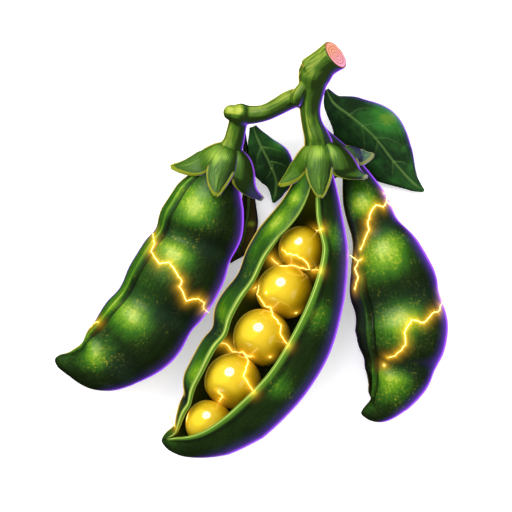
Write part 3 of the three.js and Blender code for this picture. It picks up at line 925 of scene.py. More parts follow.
class PodSettings(bpy.types.PropertyGroup):
    valley_depth: share_setting("Valley depth", "How far a pod draws in between two peas", 0.25)
    seam_height: length_setting("Seam height", "How far the seam stands off a closed pod", 0.45)
    groove_depth: length_setting("Groove depth", "How deep the groove along the seam is", 0.42)
    wall: length_setting("Wall", "How thick the wall of the open pod is at its lips", 1.35)
    lip_rounding: length_setting("Lip rounding", "How far a lip bulges", 0.35)
    # Deep green to pale lime is the ramp that the painted light and shade run over: deep green is painted
    # shade in the hollows and low on the flanks, pale lime the painted highlight on a swelling.
    deep: colour_setting("Deep green", "The skin in the hollows and low on the flanks", "0e1603")
    dark: colour_setting("Dark green", "The skin on the flanks", "183006")
    green: colour_setting("Green", "The skin between flanks and crowns", "2c5c0a")
    lime: colour_setting("Lime", "The skin round the crown of a swelling", "608c0c")
    pale: colour_setting("Pale lime", "The skin on the crown of a swelling", "b0c240")
    # The valley tint is painted shade in the valleys between the swellings.
    teal_shade: colour_setting("Valley teal", "The tint of the valleys", "0e2c14")
    speckle: colour_setting("Speckles", "The small golden flecks on the crowns", "b0a024")
    lip: colour_setting("Lip", "The edge of the open pod", "54841e")
    # The lip lines are painted highlights along the beads of the lips.
    lip_line: colour_setting("Lip lines", "The pale lines along the lip", "bcd062")
    inside: colour_setting("Inside", "The shaded inside of the open pod", "4c560a")


class PeaSettings(bpy.types.PropertyGroup):
    # Edge to bright gold is the ramp of a pea's painted light and shade: the edge is painted shade at its
    # rim, bright gold the painted light where it faces the light, and the glow a painted glow where it is
    # brightest.
    edge: colour_setting("Edge", "The rim of a pea", "a27c0a")
    gold: colour_setting("Gold", "The skin of a pea", "c29a0c")
    bright: colour_setting("Bright gold", "The glowing middle of a pea", "eccc2c")
    glow: share_setting("Glow", "How strongly a pea shines by itself", 0.07)


class CalyxSettings(bpy.types.PropertyGroup):
    thickness: length_setting("Thickness", "How thick a sepal is", 0.9)
    bead: length_setting("Bead", "How far the edge of a sepal stands proud", 0.22)
    # Dark to pale is the ramp that the sepals' painted light and shade run over.
    dark: colour_setting("Dark", "The shaded green between the sepals", "1a2e04")
    green: colour_setting("Green", "The sepals", "3c6408")
    pale: colour_setting("Pale", "The palest strokes along a sepal", "98b83a")
    rim: colour_setting("Rim", "The beaded edge", "8c961e")
    under: colour_setting("Underside", "The thick underside of the edge", "4a4410")


class StemSettings(bpy.types.PropertyGroup):
    ridge: length_setting("Ridges", "How far the ridges along the stem stand out", 0.045)
    # Dark to pale is the ramp that the bark's painted light and shade run over: dark in the grooves and on
    # the side away from the light, pale on the ridges and where it faces the light.
    dark: colour_setting("Dark", "The grooves of the stem", "1e3206")
    green: colour_setting("Green", "The stem", "40640e")
    pale: colour_setting("Pale", "The ridges of the stem", "a8b43c")
    cut: colour_setting("Cut face", "The fresh cut at the end", "d8906c")
    cut_pink: colour_setting("Cut face, pink side", "The side of the cut away from the light", "d890ac")
    cut_ring: colour_setting("Cut rings", "The rings in the cut face", "a85c40")


class LeafSettings(bpy.types.PropertyGroup):
    thickness: length_setting("Thickness", "How thick a leaf is", 0.8)
    vein_height: length_setting("Vein height", "How far the veins stand out", 0.16)
    # Deep green to lime is the ramp that a leaf's painted light and shade run over: lime is the painted
    # light on its palest patch.
    deep: colour_setting("Deep green", "The shaded half of a leaf", "152c12")
    green: colour_setting("Green", "The leaf", "2c6a22")
    lime: colour_setting("Lime", "The palest patch of a leaf", "8ca428")
    vein: colour_setting("Veins", "The veins", "5a7c3a")
    old: colour_setting("Olive", "The old leaf behind the left pod", "48400c")


class GlowSettings(bpy.types.PropertyGroup):
    arc_radius: length_setting("Spark thickness", "Half the thickness of a spark", 0.14)
    arc_reach: length_setting("Spark light", "How far the light of a spark reaches over the skin", 0.95)
    arc_core: colour_setting("Spark", "The white-hot middle of a spark", "ffe98c")
    spark_light: colour_setting("Spark light colour", "The warm light round a spark", "ffbe28")
    violet_deep: colour_setting("Violet shade", "The violet light on the flanks", "5c30b8")
    violet_bright: colour_setting("Violet line", "The violet light at the edge", "b058ff")
    gold_line: colour_setting("Gold line", "The gold light at the edge", "ffdc58")
    violet_strength: share_setting("Violet strength", "How strong the violet light is", 1.0)
    gold_strength: share_setting("Gold strength", "How strong the gold line is", 0.8)
    arc_strength: share_setting("Spark strength", "How strongly the sparks shine", 1.3)


class StageSettings(bpy.types.PropertyGroup):
    floor: colour_setting("Floor", "The pale floor", "f7f7f7")
    table: share_setting("Light table", "How strongly the floor shines by itself", 0.36)
    sky: share_setting("Sky", "How strong the even light from all round is", 1.18)
    key: power_setting("Key lamp", "Power of the soft box above the sprig", 1.75)
    gloss: power_setting("Gloss lamp", "Power of the lamp that only makes highlights", 4.5)
    fill: power_setting("Fill lamp", "Power of the wide fill lamp", 0.4)


def bare_middle(rows):
    return Rail([row[:3] for row in rows])


def radius_along(rows):
    return Rail([(row[3], 0, 0) for row in rows], even=True)


def station(rows, share):
    """The section of a pod at a share of its length."""
    middle, _, across, up = frame_on(bare_middle(rows), share)
    size = Rail([(row[3], row[4], 0) for row in rows]).at(share)
    return middle, across, up, size[..., 0], size[..., 1]


def pod_run(row):
    """The share of a pod's length that a row of its ball lies at."""
    return row - ROW_CROWDING * np.sin(2 * math.pi * row)


def round_ends(run):
    """How far a pod's section has opened up from its rounded ends."""
    top = np.minimum(run / TOP_ROUNDING, 1)
    tip = np.minimum((1 - run) / TIP_ROUNDING, 1)
    return np.sqrt(top * (2 - top)) * np.sqrt(tip * (2 - tip))


def valleys(run, places, reach=VALLEY_REACH):
    """1 where the pod draws in between two peas."""
    return sum(hump(run - place, reach) for place in places)


def body_share(run, top, tip):
    """1 along the middle of a pod, and 0 at its top and tip."""
    return smooth(*top, run) * smooth(*tip, 1 - run)


def pod_skin(name, looks, edge):
    """Skin that turns from deep green in painted shade on the flanks to speckled lime at the painted
    highlights on the swellings.
    """
    recipe = Recipe(name, Coat_Roughness=0.25, Specular_IOR_Level=0.09)
    grain = recipe.mark_direction("grain")
    place = recipe.place()
    streaks = recipe.noise(grain, scale=1.5, detail=5.0, roughness=0.6)
    clouds = recipe.noise(place, scale=260.0, detail=3.0, roughness=0.55)
    fine = recipe.noise(place, scale=1700.0, detail=4.0, roughness=0.65)
    # The tone and the highlight mark carry painted light and shade; the ramp turns them from deep green in
    # painted shade to pale lime at the painted highlights.
    crown = recipe.mark("crown")
    tone = recipe.mark("tone") + (streaks - 0.5) * 0.30 + (clouds - 0.5) * 0.16
    tone = tone + (fine - 0.5) * (0.10 + crown * 0.30)
    skin = recipe.ramp(tone, [(0.02, looks.deep), (0.26, looks.dark), (0.5, looks.green),
                              (0.74, looks.lime), (0.96, looks.pale)])
    flecks = recipe.step(fine, 0.52, 0.70) * recipe.step(clouds, 0.40, 0.62) * (0.02 + crown * 0.8)
    layers = [
        # The valley tint and the groove are painted shade, and the lip lines painted highlights; the violet
        # shade darkens the skin under the painted violet light.
        (recipe.mark("valley") * 0.55, looks.teal_shade),
        (flecks, looks.speckle),
        (recipe.mark("lip"), looks.lip),
        (recipe.mark("lip_line"), looks.lip_line),
        (recipe.mark("inside"), looks.inside),
        (recipe.mark("groove"), looks.deep),
        (recipe.mark("violet") * 0.75, VIOLET_SHADE),
    ]
    for share, colour in layers:
        skin = recipe.mix(share, skin, colour)
    return finish_skin(
        recipe, edge,
        Base_Color=skin,
        Roughness=0.36 + fine * 0.22 + recipe.mark("valley") * 0.3,
        Coat_Weight=crown * 0.08,
        Normal=recipe.bump(streaks * 0.6 + fine * 0.4, strength=0.35, distance=0.00035),
    )


def closed_pod(name, looks, material):
    """A closed pod: swellings between the valleys, and a seam that stands up beside its groove."""
    shape = CLOSED_PODS[name]
    piece, turn, row = add_ball(skin_name(name), POD_AROUND, POD_ALONG)
    turn = (2 * math.pi - turn) % (2 * math.pi)
    run = pod_run(row)
    middle, across, up, breadth, depth = station(shape["rows"], run)
    end = round_ends(run)
    body = body_share(run, shape["seam top"], RELIEF_TIP)
    past_groove = turn - shape["seam turn"]
    on_seam = smooth(0, SEAM_RISE, past_groove) * smooth(-SEAM_END_TURN, -math.pi, -turn)
    on_bead = hump(past_groove - BEAD_TURN, BEAD_REACH)
    groove = hump(past_groove, GROOVE_REACH)
    relief = body * (looks.seam_height / MM * on_seam - looks.groove_depth / MM * groove
                     + BEAD_HEIGHT * on_bead)
    bow = VALLEY_BOW * np.maximum(np.sin(turn), 0)
    dip = looks.valley_depth * valleys(run + bow, shape["valleys"])
    side = (breadth * (1 - VALLEY_PINCH * dip) + relief) * end * np.cos(turn)
    rise = (depth * (1 - dip * (1 - SEAM_HOLDS * on_seam)) + relief) * end * np.sin(turn)
    points = within_box(middle + SHIFT + across * side[:, None] + up * rise[:, None])
    move_points(piece, points)
    merge_and_turn_out(piece)
    mark_light(piece, shape["violet"], shape["gold"], POD_GOLD_REACH)
    level = normals_of(piece)[:, 2]
    mark_grain(piece, np.cos(turn) * breadth, np.sin(turn) * depth, run * STREAKS_ALONG)
    # Painted highlights on the swellings, where a face looks up
    crown = spots_at(points, shape["highlight_spots"]) * smooth(*HIGHLIGHT_LEVEL, level)
    # Painted shade in the valleys between the swellings
    valley = valleys(run + bow, shape["valleys"], VALLEY_TINT_REACH)
    valley = valley * smooth(*VALLEY_LEVEL, level) * (1 - on_seam)
    mark(piece, "crown", crown)
    mark(piece, "valley", np.clip(valley, 0, 1))
    # A line of painted shade in the groove of the seam
    mark(piece, "groove", body * hump(past_groove, GROOVE_LINE_REACH) * 0.9)
    # The tone: painted light where the pod faces the light, painted highlights on the swellings and on the
    # seam's bead, painted shade in the valleys, and the strip beyond the seam paler or darker
    lit = smooth(CLOSED_TONE["lit from"], 1.0, marked(piece, "lit"))
    mark(piece, "tone", CLOSED_TONE["base"] + CLOSED_TONE["lit"] * lit + CLOSED_TONE["crown"] * crown
         - CLOSED_TONE["valley"] * valley + body * (shape["band"] * on_seam + CLOSED_TONE["bead"] * on_bead))
    gold_edge = marked(piece, "gold_line") * smooth(-0.86, -0.96, np.cos(turn))
    violet_part = smooth(*VIOLET_SEAM_TOP, run) * smooth(*VIOLET_SEAM_TIP, run)
    mark(piece, "gold_line", gold_edge * (1 - violet_part))
    violet_edge = VIOLET_SEAM * gold_edge * violet_part
    mark(piece, "violet_line", marked(piece, "violet_line") + violet_edge)
    settle(piece, material, "pod", name)
    return piece


def shell_section(step, breadth, depth, right_turn, left_turn, hollow, looks):
    """Where a point of the open pod's ring lies: sideways and up from the middle of its section."""
    wall_at_lip = looks.wall / MM
    lip_rounding = looks.lip_rounding / MM
    lip_start = SHELL_OUTSIDE
    inside_start = lip_start + SHELL_LIP
    right_start = inside_start + SHELL_INSIDE

    def outside(share):
        turn = blend(right_turn, left_turn, share)
        return breadth * np.cos(turn), depth * np.sin(turn)

    def edge(turn):
        wall = np.minimum(wall_at_lip, MOST_WALL * depth)
        return (breadth - wall) * np.cos(turn), (depth - wall) * np.sin(turn)

    def inside(share):
        turn = blend(right_turn, left_turn, share)
        low = np.maximum(0, -np.sin(turn))
        wall = np.minimum(blend(wall_at_lip, FLOOR_WALL, low), MOST_WALL * depth)
        deep = (breadth - wall) * np.cos(turn), (depth - wall) * np.sin(turn)
        right, left = edge(right_turn), edge(left_turn)
        sag = WEB_SAG * np.sin(math.pi * share)
        web = blend(right[0], left[0], share), blend(right[1], left[1], share) - sag
        open_share = np.where((share <= 0) | (share >= 1), 1, hollow)
        return blend(web[0], deep[0], open_share), blend(web[1], deep[1], open_share)

    def lip(near, far, share, way):
        bulge = lip_rounding * np.sin(math.pi * np.clip(share, 0, 1))
        bulge = bulge * (RIGHT_LIP_FULLER if way > 0 else 1)
        side, rise = blend(near[0], far[0], share), blend(near[1], far[1], share)
        return side - way * 0.6 * bulge, rise + 0.8 * bulge

    parts = [
        (step <= lip_start, outside(np.clip(step / SHELL_OUTSIDE, 0, 1))),
        ((step > lip_start) & (step < inside_start),
         lip(outside(1), inside(np.ones(len(step))), (step - lip_start) / SHELL_LIP, -1)),
        ((step >= inside_start) & (step <= right_start),
         inside(1 - np.clip((step - inside_start) / SHELL_INSIDE, 0, 1))),
        (step > right_start,
         lip(inside(np.zeros(len(step))), outside(0), (step - right_start) / SHELL_LIP, 1)),
    ]
    where = [part for part, _ in parts]
    return [np.select(where, [place[axis] for _, place in parts]) for axis in (0, 1)]


def open_pod(looks, material):
    """The open pod: one wall whose ring runs round the outside, over the left lip, back along the
    inside and over the right lip."""
    ring = SHELL_OUTSIDE + SHELL_INSIDE + 2 * SHELL_LIP
    piece, turn, row = add_ball(skin_name("pod_centre"), ring, SHELL_ALONG)
    step = np.round(turn / (2 * math.pi) * ring) % ring
    run = pod_run(row)
    middle, across, up, breadth, depth = station(CENTRE_POD, run)
    end = round_ends(run)
    lips = Rail([(*pair, 0) for pair in CENTRE_LIPS]).at(run)
    right_turn = np.arccos(lips[:, 1])
    left_turn = np.arccos(lips[:, 0]) - 2 * math.pi
    hollow = body_share(run, HOLLOW_TOP, HOLLOW_TIP)
    side, rise = shell_section(step, breadth, depth, right_turn, left_turn, hollow, looks)
    inside_start = SHELL_OUTSIDE + SHELL_LIP
    right_start = inside_start + SHELL_INSIDE
    lip_left = (step - SHELL_OUTSIDE) / SHELL_LIP
    lip_right = np.where(step == 0, 0.0, 1 - (step - right_start) / SHELL_LIP)
    on_left_lip = (lip_left >= 0) & (lip_left <= 1)
    lip_share = np.where(on_left_lip, lip_left, np.where(lip_right <= 1, lip_right, -1))
    on_lip = lip_share >= 0
    body = body_share(run, OPEN_RELIEF_TOP, OPEN_RELIEF_TIP)
    beads = hump(lip_share - 0.12, LIP_BEAD_REACH) + 0.8 * hump(lip_share - 0.9, LIP_BEAD_REACH)
    beads = np.where(on_lip, beads, 0) * LIP_BEAD * body
    dips = valleys(run, CENTRE_VALLEYS)
    left_flank = smooth(0.0, 0.5, -side / breadth) * (step <= SHELL_OUTSIDE)
    side = np.where(side < 0, side * (1 - LEFT_EDGE_DIPS * dips), side)
    rise = rise - LEFT_FLANK_DIPS * left_flank * smooth(0.0, 0.4, rise / depth) * (dips - 0.35) * body
    points = middle + SHIFT + across * (side * end)[:, None] + up * ((rise + beads) * end)[:, None]
    points = within_box(points)
    move_points(piece, points)
    merge_and_turn_out(piece)
    mark_light(piece, reach=POD_GOLD_REACH)
    level = normals_of(piece)[:, 2]
    outer = step <= SHELL_OUTSIDE
    outer_share = np.clip(step / SHELL_OUTSIDE, 0, 1)
    outer_turn = blend(right_turn, left_turn, outer_share)
    mark_grain(piece, np.cos(outer_turn) * breadth, np.sin(outer_turn) * depth, run * OPEN_STREAKS_ALONG)
    # Painted highlights on the open pod's swellings, where a face looks up
    crown = spots_at(points, CENTRE_HIGHLIGHTS) * smooth(*OPEN_HIGHLIGHT_LEVEL, level) * outer
    mark(piece, "crown", crown * 0.7)
    # Painted shade in the valleys of the left flank
    mark(piece, "valley", np.clip(dips * left_flank * 1.2, 0, 1) * (level > 0))
    mark(piece, "inside", ((step > inside_start) & (step < right_start)) * 0.92)
    beside_right_lip = outer * smooth(0.013, 0.006, outer_share)
    mark(piece, "lip", np.maximum(on_lip * 0.85, beside_right_lip) * body)
    on_right_lip = on_lip & (lip_right >= 0) & (lip_right <= 1) & (step != SHELL_OUTSIDE)
    # Painted highlights along the beads of the lips
    left_lines = hump(lip_share - 0.14, 0.12) + 0.8 * hump(lip_share - 0.88, 0.12)
    right_lines = hump(lip_share - 0.14, 0.06) + 0.4 * hump(lip_share - 0.42, 0.08)
    mark(piece, "lip_line", np.where(on_right_lip, right_lines, np.where(on_lip, left_lines, 0)) * body)
    # A line of painted shade in the crease beside the right lip
    mark(piece, "groove", body * outer * 0.75 * hump(outer_share - 0.024, 0.010))
    # A painted highlight along the outer face beside the left lip
    left_lip_highlight = outer * body * hump(outer_share - 0.93, 0.035) * (1 - 0.5 * dips)
    # The tone: painted light where the pod faces the light, painted highlights on the swellings and beside
    # the left lip, and painted shade in the valleys
    lit = smooth(OPEN_TONE["lit from"], 1.0, marked(piece, "lit"))
    mark(piece, "tone", OPEN_TONE["base"] + OPEN_TONE["lit"] * lit * outer + OPEN_TONE["crown"] * crown
         - OPEN_TONE["valley"] * dips * left_flank + OPEN_TONE["lip"] * left_lip_highlight)
    keep_share(piece, outer & (side > 0), "violet", "violet_line")
    keep_share(piece, outer * smooth(-0.6, -0.9, side / breadth), "gold_line")
    settle(piece, material, "pod", "pod_centre")
    return piece


def pea_skin(name, looks, edge):
    """Glossy gold with painted light and shade: brightest in the middle where it faces the light, with a
    painted glow there, and darkened to olive at the rim by painted shade.
    """
    recipe = Recipe(name, Coat_Roughness=0.03, Coat_IOR=2.0, Specular_IOR_Level=0.1)
    place = recipe.place()
    clouds = recipe.noise(place, scale=420.0, detail=3.0, roughness=0.5)
    fine = recipe.noise(place, scale=2600.0, detail=2.0, roughness=0.5)
    tone = recipe.mark("tone") + (clouds - 0.5) * 0.16
    skin = recipe.ramp(tone, [(0.0, looks.edge), (0.42, looks.gold), (0.85, looks.bright)])
    skin = recipe.mix(recipe.step(fine, 0.58, 0.74) * 0.12, skin, looks.edge)
    shine = recipe.mix(recipe.step(tone, 0.3, 0.95) * looks.glow, NO_LIGHT, looks.bright)
    glow = recipe.mix(1.0, shine, edge_glow(recipe, edge), "ADD")
    return recipe.finish(
        Base_Color=skin,
        Roughness=0.22 + clouds * 0.14,
        Coat_Weight=1.0,
        Normal=recipe.bump(clouds, strength=0.08, distance=0.0004),
        Emission_Color=glow,
        Emission_Strength=1.0,
    )


def pressed_plane(middle, radius, neighbour, is_next):
    """The plane that a pea is pressed flat against: its direction, and how far off it is."""
    apart = np.array(neighbour[:3]) - middle
    flat = unit(np.array([apart[0], apart[1], 0.0]))
    lean = math.sin(PEA_LEAN) if is_next else -math.sin(PEA_LEAN)
    normal = flat * math.cos(PEA_LEAN) + np.array([0, 0, lean])
    return normal, apart @ normal * (radius / (radius + neighbour[3])) - PEA_GAP / 2


def pea(number, material):
    """A pea, flattened where it presses on its neighbours. The lower pea leans over the upper."""
    name = f"pea_{number + 1}"
    x, y, z, radius = PEAS[number]
    middle = np.array([x, y, z])
    piece, _, _ = add_ball(skin_name(name), PEA_AROUND, PEA_ALONG)
    place = points_of(piece) * radius
    for other, is_next in ((number - 1, False), (number + 1, True)):
        if 0 <= other < len(PEAS):
            normal, reach = pressed_plane(middle, radius, PEAS[other], is_next)
            far = place @ normal
            near = -PEA_EDGE_ROUNDING * np.logaddexp(-far / PEA_EDGE_ROUNDING, -reach / PEA_EDGE_ROUNDING)
            place = place + normal * (near - far)[:, None]
    move_points(piece, place + middle + SHIFT)
    merge_and_turn_out(piece)
    mark_light(piece, violet=0.0, gold=0.4)
    # Painted light and shade: paler where the pea faces the light, with a painted highlight where it faces
    # it most squarely
    facing = unit(place) @ unit(PEA_BRIGHTEST)
    mark(piece, "tone", PEA_TONE["base"] + PEA_TONE["facing"] * smooth(0, 1, facing)
         + PEA_TONE["middle"] * smooth(0.9, 1, facing))
    settle(piece, material, "pea", name)
    return piece


def nearest_on(points, rails):
    """For each point, the nearest line, the share along it, the turn round it, and how much farther
    the next line is."""
    best = np.full(len(points), np.inf)
    second = np.full(len(points), np.inf)
    line = np.zeros(len(points), int)
    share = np.zeros(len(points))
    samples = np.linspace(0, 1, STALK_SAMPLES)
    for number, (rail, radii) in enumerate(rails):
        spots = rail.at(samples)
        widths = radii.at(samples)[:, 0]
        apart = np.linalg.norm(points[:, None, :] - spots[None], axis=2) - widths[None]
        nearest = apart.argmin(axis=1)
        gap = apart[np.arange(len(points)), nearest]
        closer = gap < best
        second = np.where(closer, best, np.minimum(second, gap))
        best = np.where(closer, gap, best)
        line = np.where(closer, number, line)
        share = np.where(closer, samples[nearest], share)
    turn = np.zeros(len(points))
    for number, (rail, _) in enumerate(rails):
        here = line == number
        middle, _, across, up = frame_on(rail, share[here])
        off = points[here] - middle
        turn[here] = np.arctan2(np.sum(off * up, axis=1), np.sum(off * across, axis=1))
    return line, share, turn, second - best


def stem_skin(name, looks, edge, cut_middle, cut_way):
    """Ridged green bark, and a salmon cut face with rings."""
    recipe = Recipe(name, Coat_Roughness=0.3, Specular_IOR_Level=0.1, Coat_Weight=0.02)
    grain = recipe.mark_direction("grain")
    place = recipe.place()
    streaks = recipe.noise(grain, scale=2.2, detail=5.0, roughness=0.65)
    clouds = recipe.noise(place, scale=330.0, detail=3.0, roughness=0.6)
    tone = recipe.mark("tone") + (streaks - 0.5) * 0.7 + (clouds - 0.5) * 0.3
    bark = recipe.ramp(tone, [(0.12, looks.dark), (0.5, looks.green), (0.9, looks.pale)])
    off = recipe.between("SUBTRACT", place, cut_middle)[0]
    depth = recipe.between("DOT_PRODUCT", off, cut_way)[1]
    reach = recipe.node("ShaderNodeVectorMath", {"operation": "LENGTH"}, {0: off})[1]
    wobble = recipe.noise(place, scale=500.0, detail=2.0, roughness=0.5)
    rings = recipe.node("ShaderNodeMath", {"operation": "SINE"}, {0: reach * 7000.0 + wobble * 8.0})[0]
    pink_side = recipe.between("DOT_PRODUCT", off, CUT_PINK_WAY)[1]
    face = recipe.mix(recipe.step(pink_side, -0.002, 0.003), looks.cut, looks.cut_pink)
    face = recipe.mix(recipe.step(rings, 0.1, 0.9) * 0.85, face, looks.cut_ring)
    on_face = recipe.step(depth, -0.00022, -0.00012) * recipe.step(reach, 0.00335, 0.00325)
    return finish_skin(
        recipe, edge,
        Base_Color=recipe.mix(on_face, bark, face),
        Roughness=0.36 + streaks * 0.2,
        Normal=recipe.bump(streaks * 0.7 + clouds * 0.3, strength=0.4, distance=0.0004),
    )


def stalk_tube(rows):
    """A round tube with flat ends along the rows of a stalk."""
    share = np.linspace(0, 1, STALK_SAMPLES)
    places = bare_middle(rows).at(share) + SHIFT
    return thread_through("stalk", places, radius_along(rows).at(share)[:, 0], roundness=8)


def make_stem(looks, edge):
    """The cut stem, its branch, knob, bud stub and pod stalks, grown together as one piece."""
    tubes = [stalk_tube(rows) for rows in STALKS.values()]
    for x, y, z, radius in KNOBS:
        deselect()
        place = (np.array([x, y, z]) + SHIFT) * MM
        bpy.ops.mesh.primitive_uv_sphere_add(segments=48, ring_count=32, radius=radius * MM, location=place)
        bpy.ops.object.transform_apply(location=True, rotation=True, scale=True)
        tubes.append(bpy.context.object)
    choose(*tubes)
    bpy.ops.object.join()
    piece = named(skin_name("stem"))
    apply(piece, "REMESH", mode="VOXEL", voxel_size=VOXEL * MM, adaptivity=0.0)
    cut_rows = [np.array(row[:3]) + SHIFT for row in STALKS["cut end"]]
    points = points_of(piece) / MM
    from_cut = np.linalg.norm(points - cut_rows[0], axis=1)
    by_lobes = spots_at(points - SHIFT, [(x, y, LOBE_REACH) for x, y, _ in LOBES])
    soft = piece.vertex_groups.new(name="soft")
    for number, weight in enumerate(smooth(*SOFT_FROM_CUT, from_cut) * (1 - LOBES_KEPT * by_lobes)):
        soft.add([number], weight, "REPLACE")
    cut_way = unit(cut_rows[0] - cut_rows[1])
    near_cut = smooth(*LEAN_FROM_CUT, (points - cut_rows[0]) @ cut_way)
    lean = CUT_LEAN * (points[:, 2] - cut_rows[0][2]) * near_cut
    move_points(piece, points - cut_way * lean[:, None])
    apply(piece, "SMOOTH", factor=0.5, iterations=SMOOTH_ALL)
    apply(piece, "SMOOTH", factor=0.5, iterations=SMOOTH_SOFT, vertex_group="soft")
    merge_and_turn_out(piece)
    rails = [(Rail([np.array(row[:3]) + SHIFT for row in rows]), radius_along(rows))
             for rows in STALKS.values()]
    points = points_of(piece) / MM
    line, share, turn, clear = nearest_on(points, rails)
    cut_face = unit(cut_way + CUT_LEAN * unit(np.array([0, 0, 1]) - cut_way * cut_way[2]))
    off_cut = (points - cut_rows[0]) @ cut_face
    on_face = smooth(*CUT_FACE_DEPTH, off_cut) * (line == 0)
    twist = 0.35 * np.sin(3.0 * share + line)
    waves = sum(height * np.cos(count * (turn + part * twist) + start)
                for count, height, part, start in RIDGES)
    strong = np.where((line == 1) | (line == 0), 1.0, 0.5) * (1 - on_face) * smooth(0.0, 0.9, clear)
    ridge = looks.ridge / MM * waves * strong
    move_points(piece, within_box(points + normals_of(piece) * ridge[:, None]))
    mark_light(piece)
    lit = marked(piece, "lit")
    along = share * np.array(GRAIN_LENGTHS)[line] * 0.12 + line
    mark_grain(piece, np.cos(turn) * 2.5, np.sin(turn) * 2.5, along)
    # Painted highlights on the knob's lobes, and the tone: painted light where the stem faces the light,
    # paler on its ridges and painted shade in its grooves
    lobes = spots_at(points - SHIFT, LOBES) * smooth(0.5, 0.9, lit)
    mark(piece, "tone", STEM_TONE["lit"] * smooth(STEM_TONE["lit from"], 1.0, lit)
         + STEM_TONE["ridge"] * waves * strong + STEM_TONE["lobe"] * lobes)
    keep_share(piece, 1 - 0.85 * on_face, "violet", "violet_line", "gold_line")
    material = stem_skin("stem skin", looks, edge, tuple(cut_rows[0] * MM), tuple(cut_face))
    settle(piece, material, "stem", "stem")
    return piece


def sepal_skin(name, looks, edge):
    """Yellow-green with fine strokes along each sepal and a pale beaded rim."""
    recipe = Recipe(name, Coat_Roughness=0.3, Specular_IOR_Level=0.1, Coat_Weight=0.02)
    grain = recipe.mark_direction("grain")
    place = recipe.place()
    strokes = recipe.noise(grain, scale=2.6, detail=5.0, roughness=0.65)
    clouds = recipe.noise(place, scale=300.0, detail=3.0, roughness=0.55)
    tone = recipe.mark("tone") + (strokes - 0.5) * 0.7 + (clouds - 0.5) * 0.2
    skin = recipe.ramp(tone, [(0.1, looks.dark), (0.5, looks.green), (0.92, looks.pale)])
    skin = recipe.mix(recipe.mark("rim") * 0.8, skin, looks.rim)
    skin = recipe.mix(recipe.mark("under") * 0.85, skin, looks.under)
    return finish_skin(
        recipe, edge,
        Base_Color=skin,
        Roughness=0.38 + strokes * 0.16,
        Normal=recipe.bump(strokes, strength=0.35, distance=0.0004),
    )


def turned_up(width, middle_turn, across, up, line, twist):
    """Twist a sepal's width about its own length, so that its outer face looks up as it spreads."""
    round_way = unit(up * math.cos(middle_turn) - across * math.sin(middle_turn))
    outward = unit(across * math.cos(middle_turn) + up * math.sin(middle_turn))
    level = unit(np.array([-line[1], line[0], 0.0]))
    facing = np.sign(np.cross(round_way, line) @ outward)
    level = level * np.sign(facing * np.cross(level, line)[2])
    new_way = unit(round_way * (1 - twist)[:, None] + level * twist[:, None])
    along = width @ round_way
    return width + new_way * along[:, None] - round_way * along[:, None]


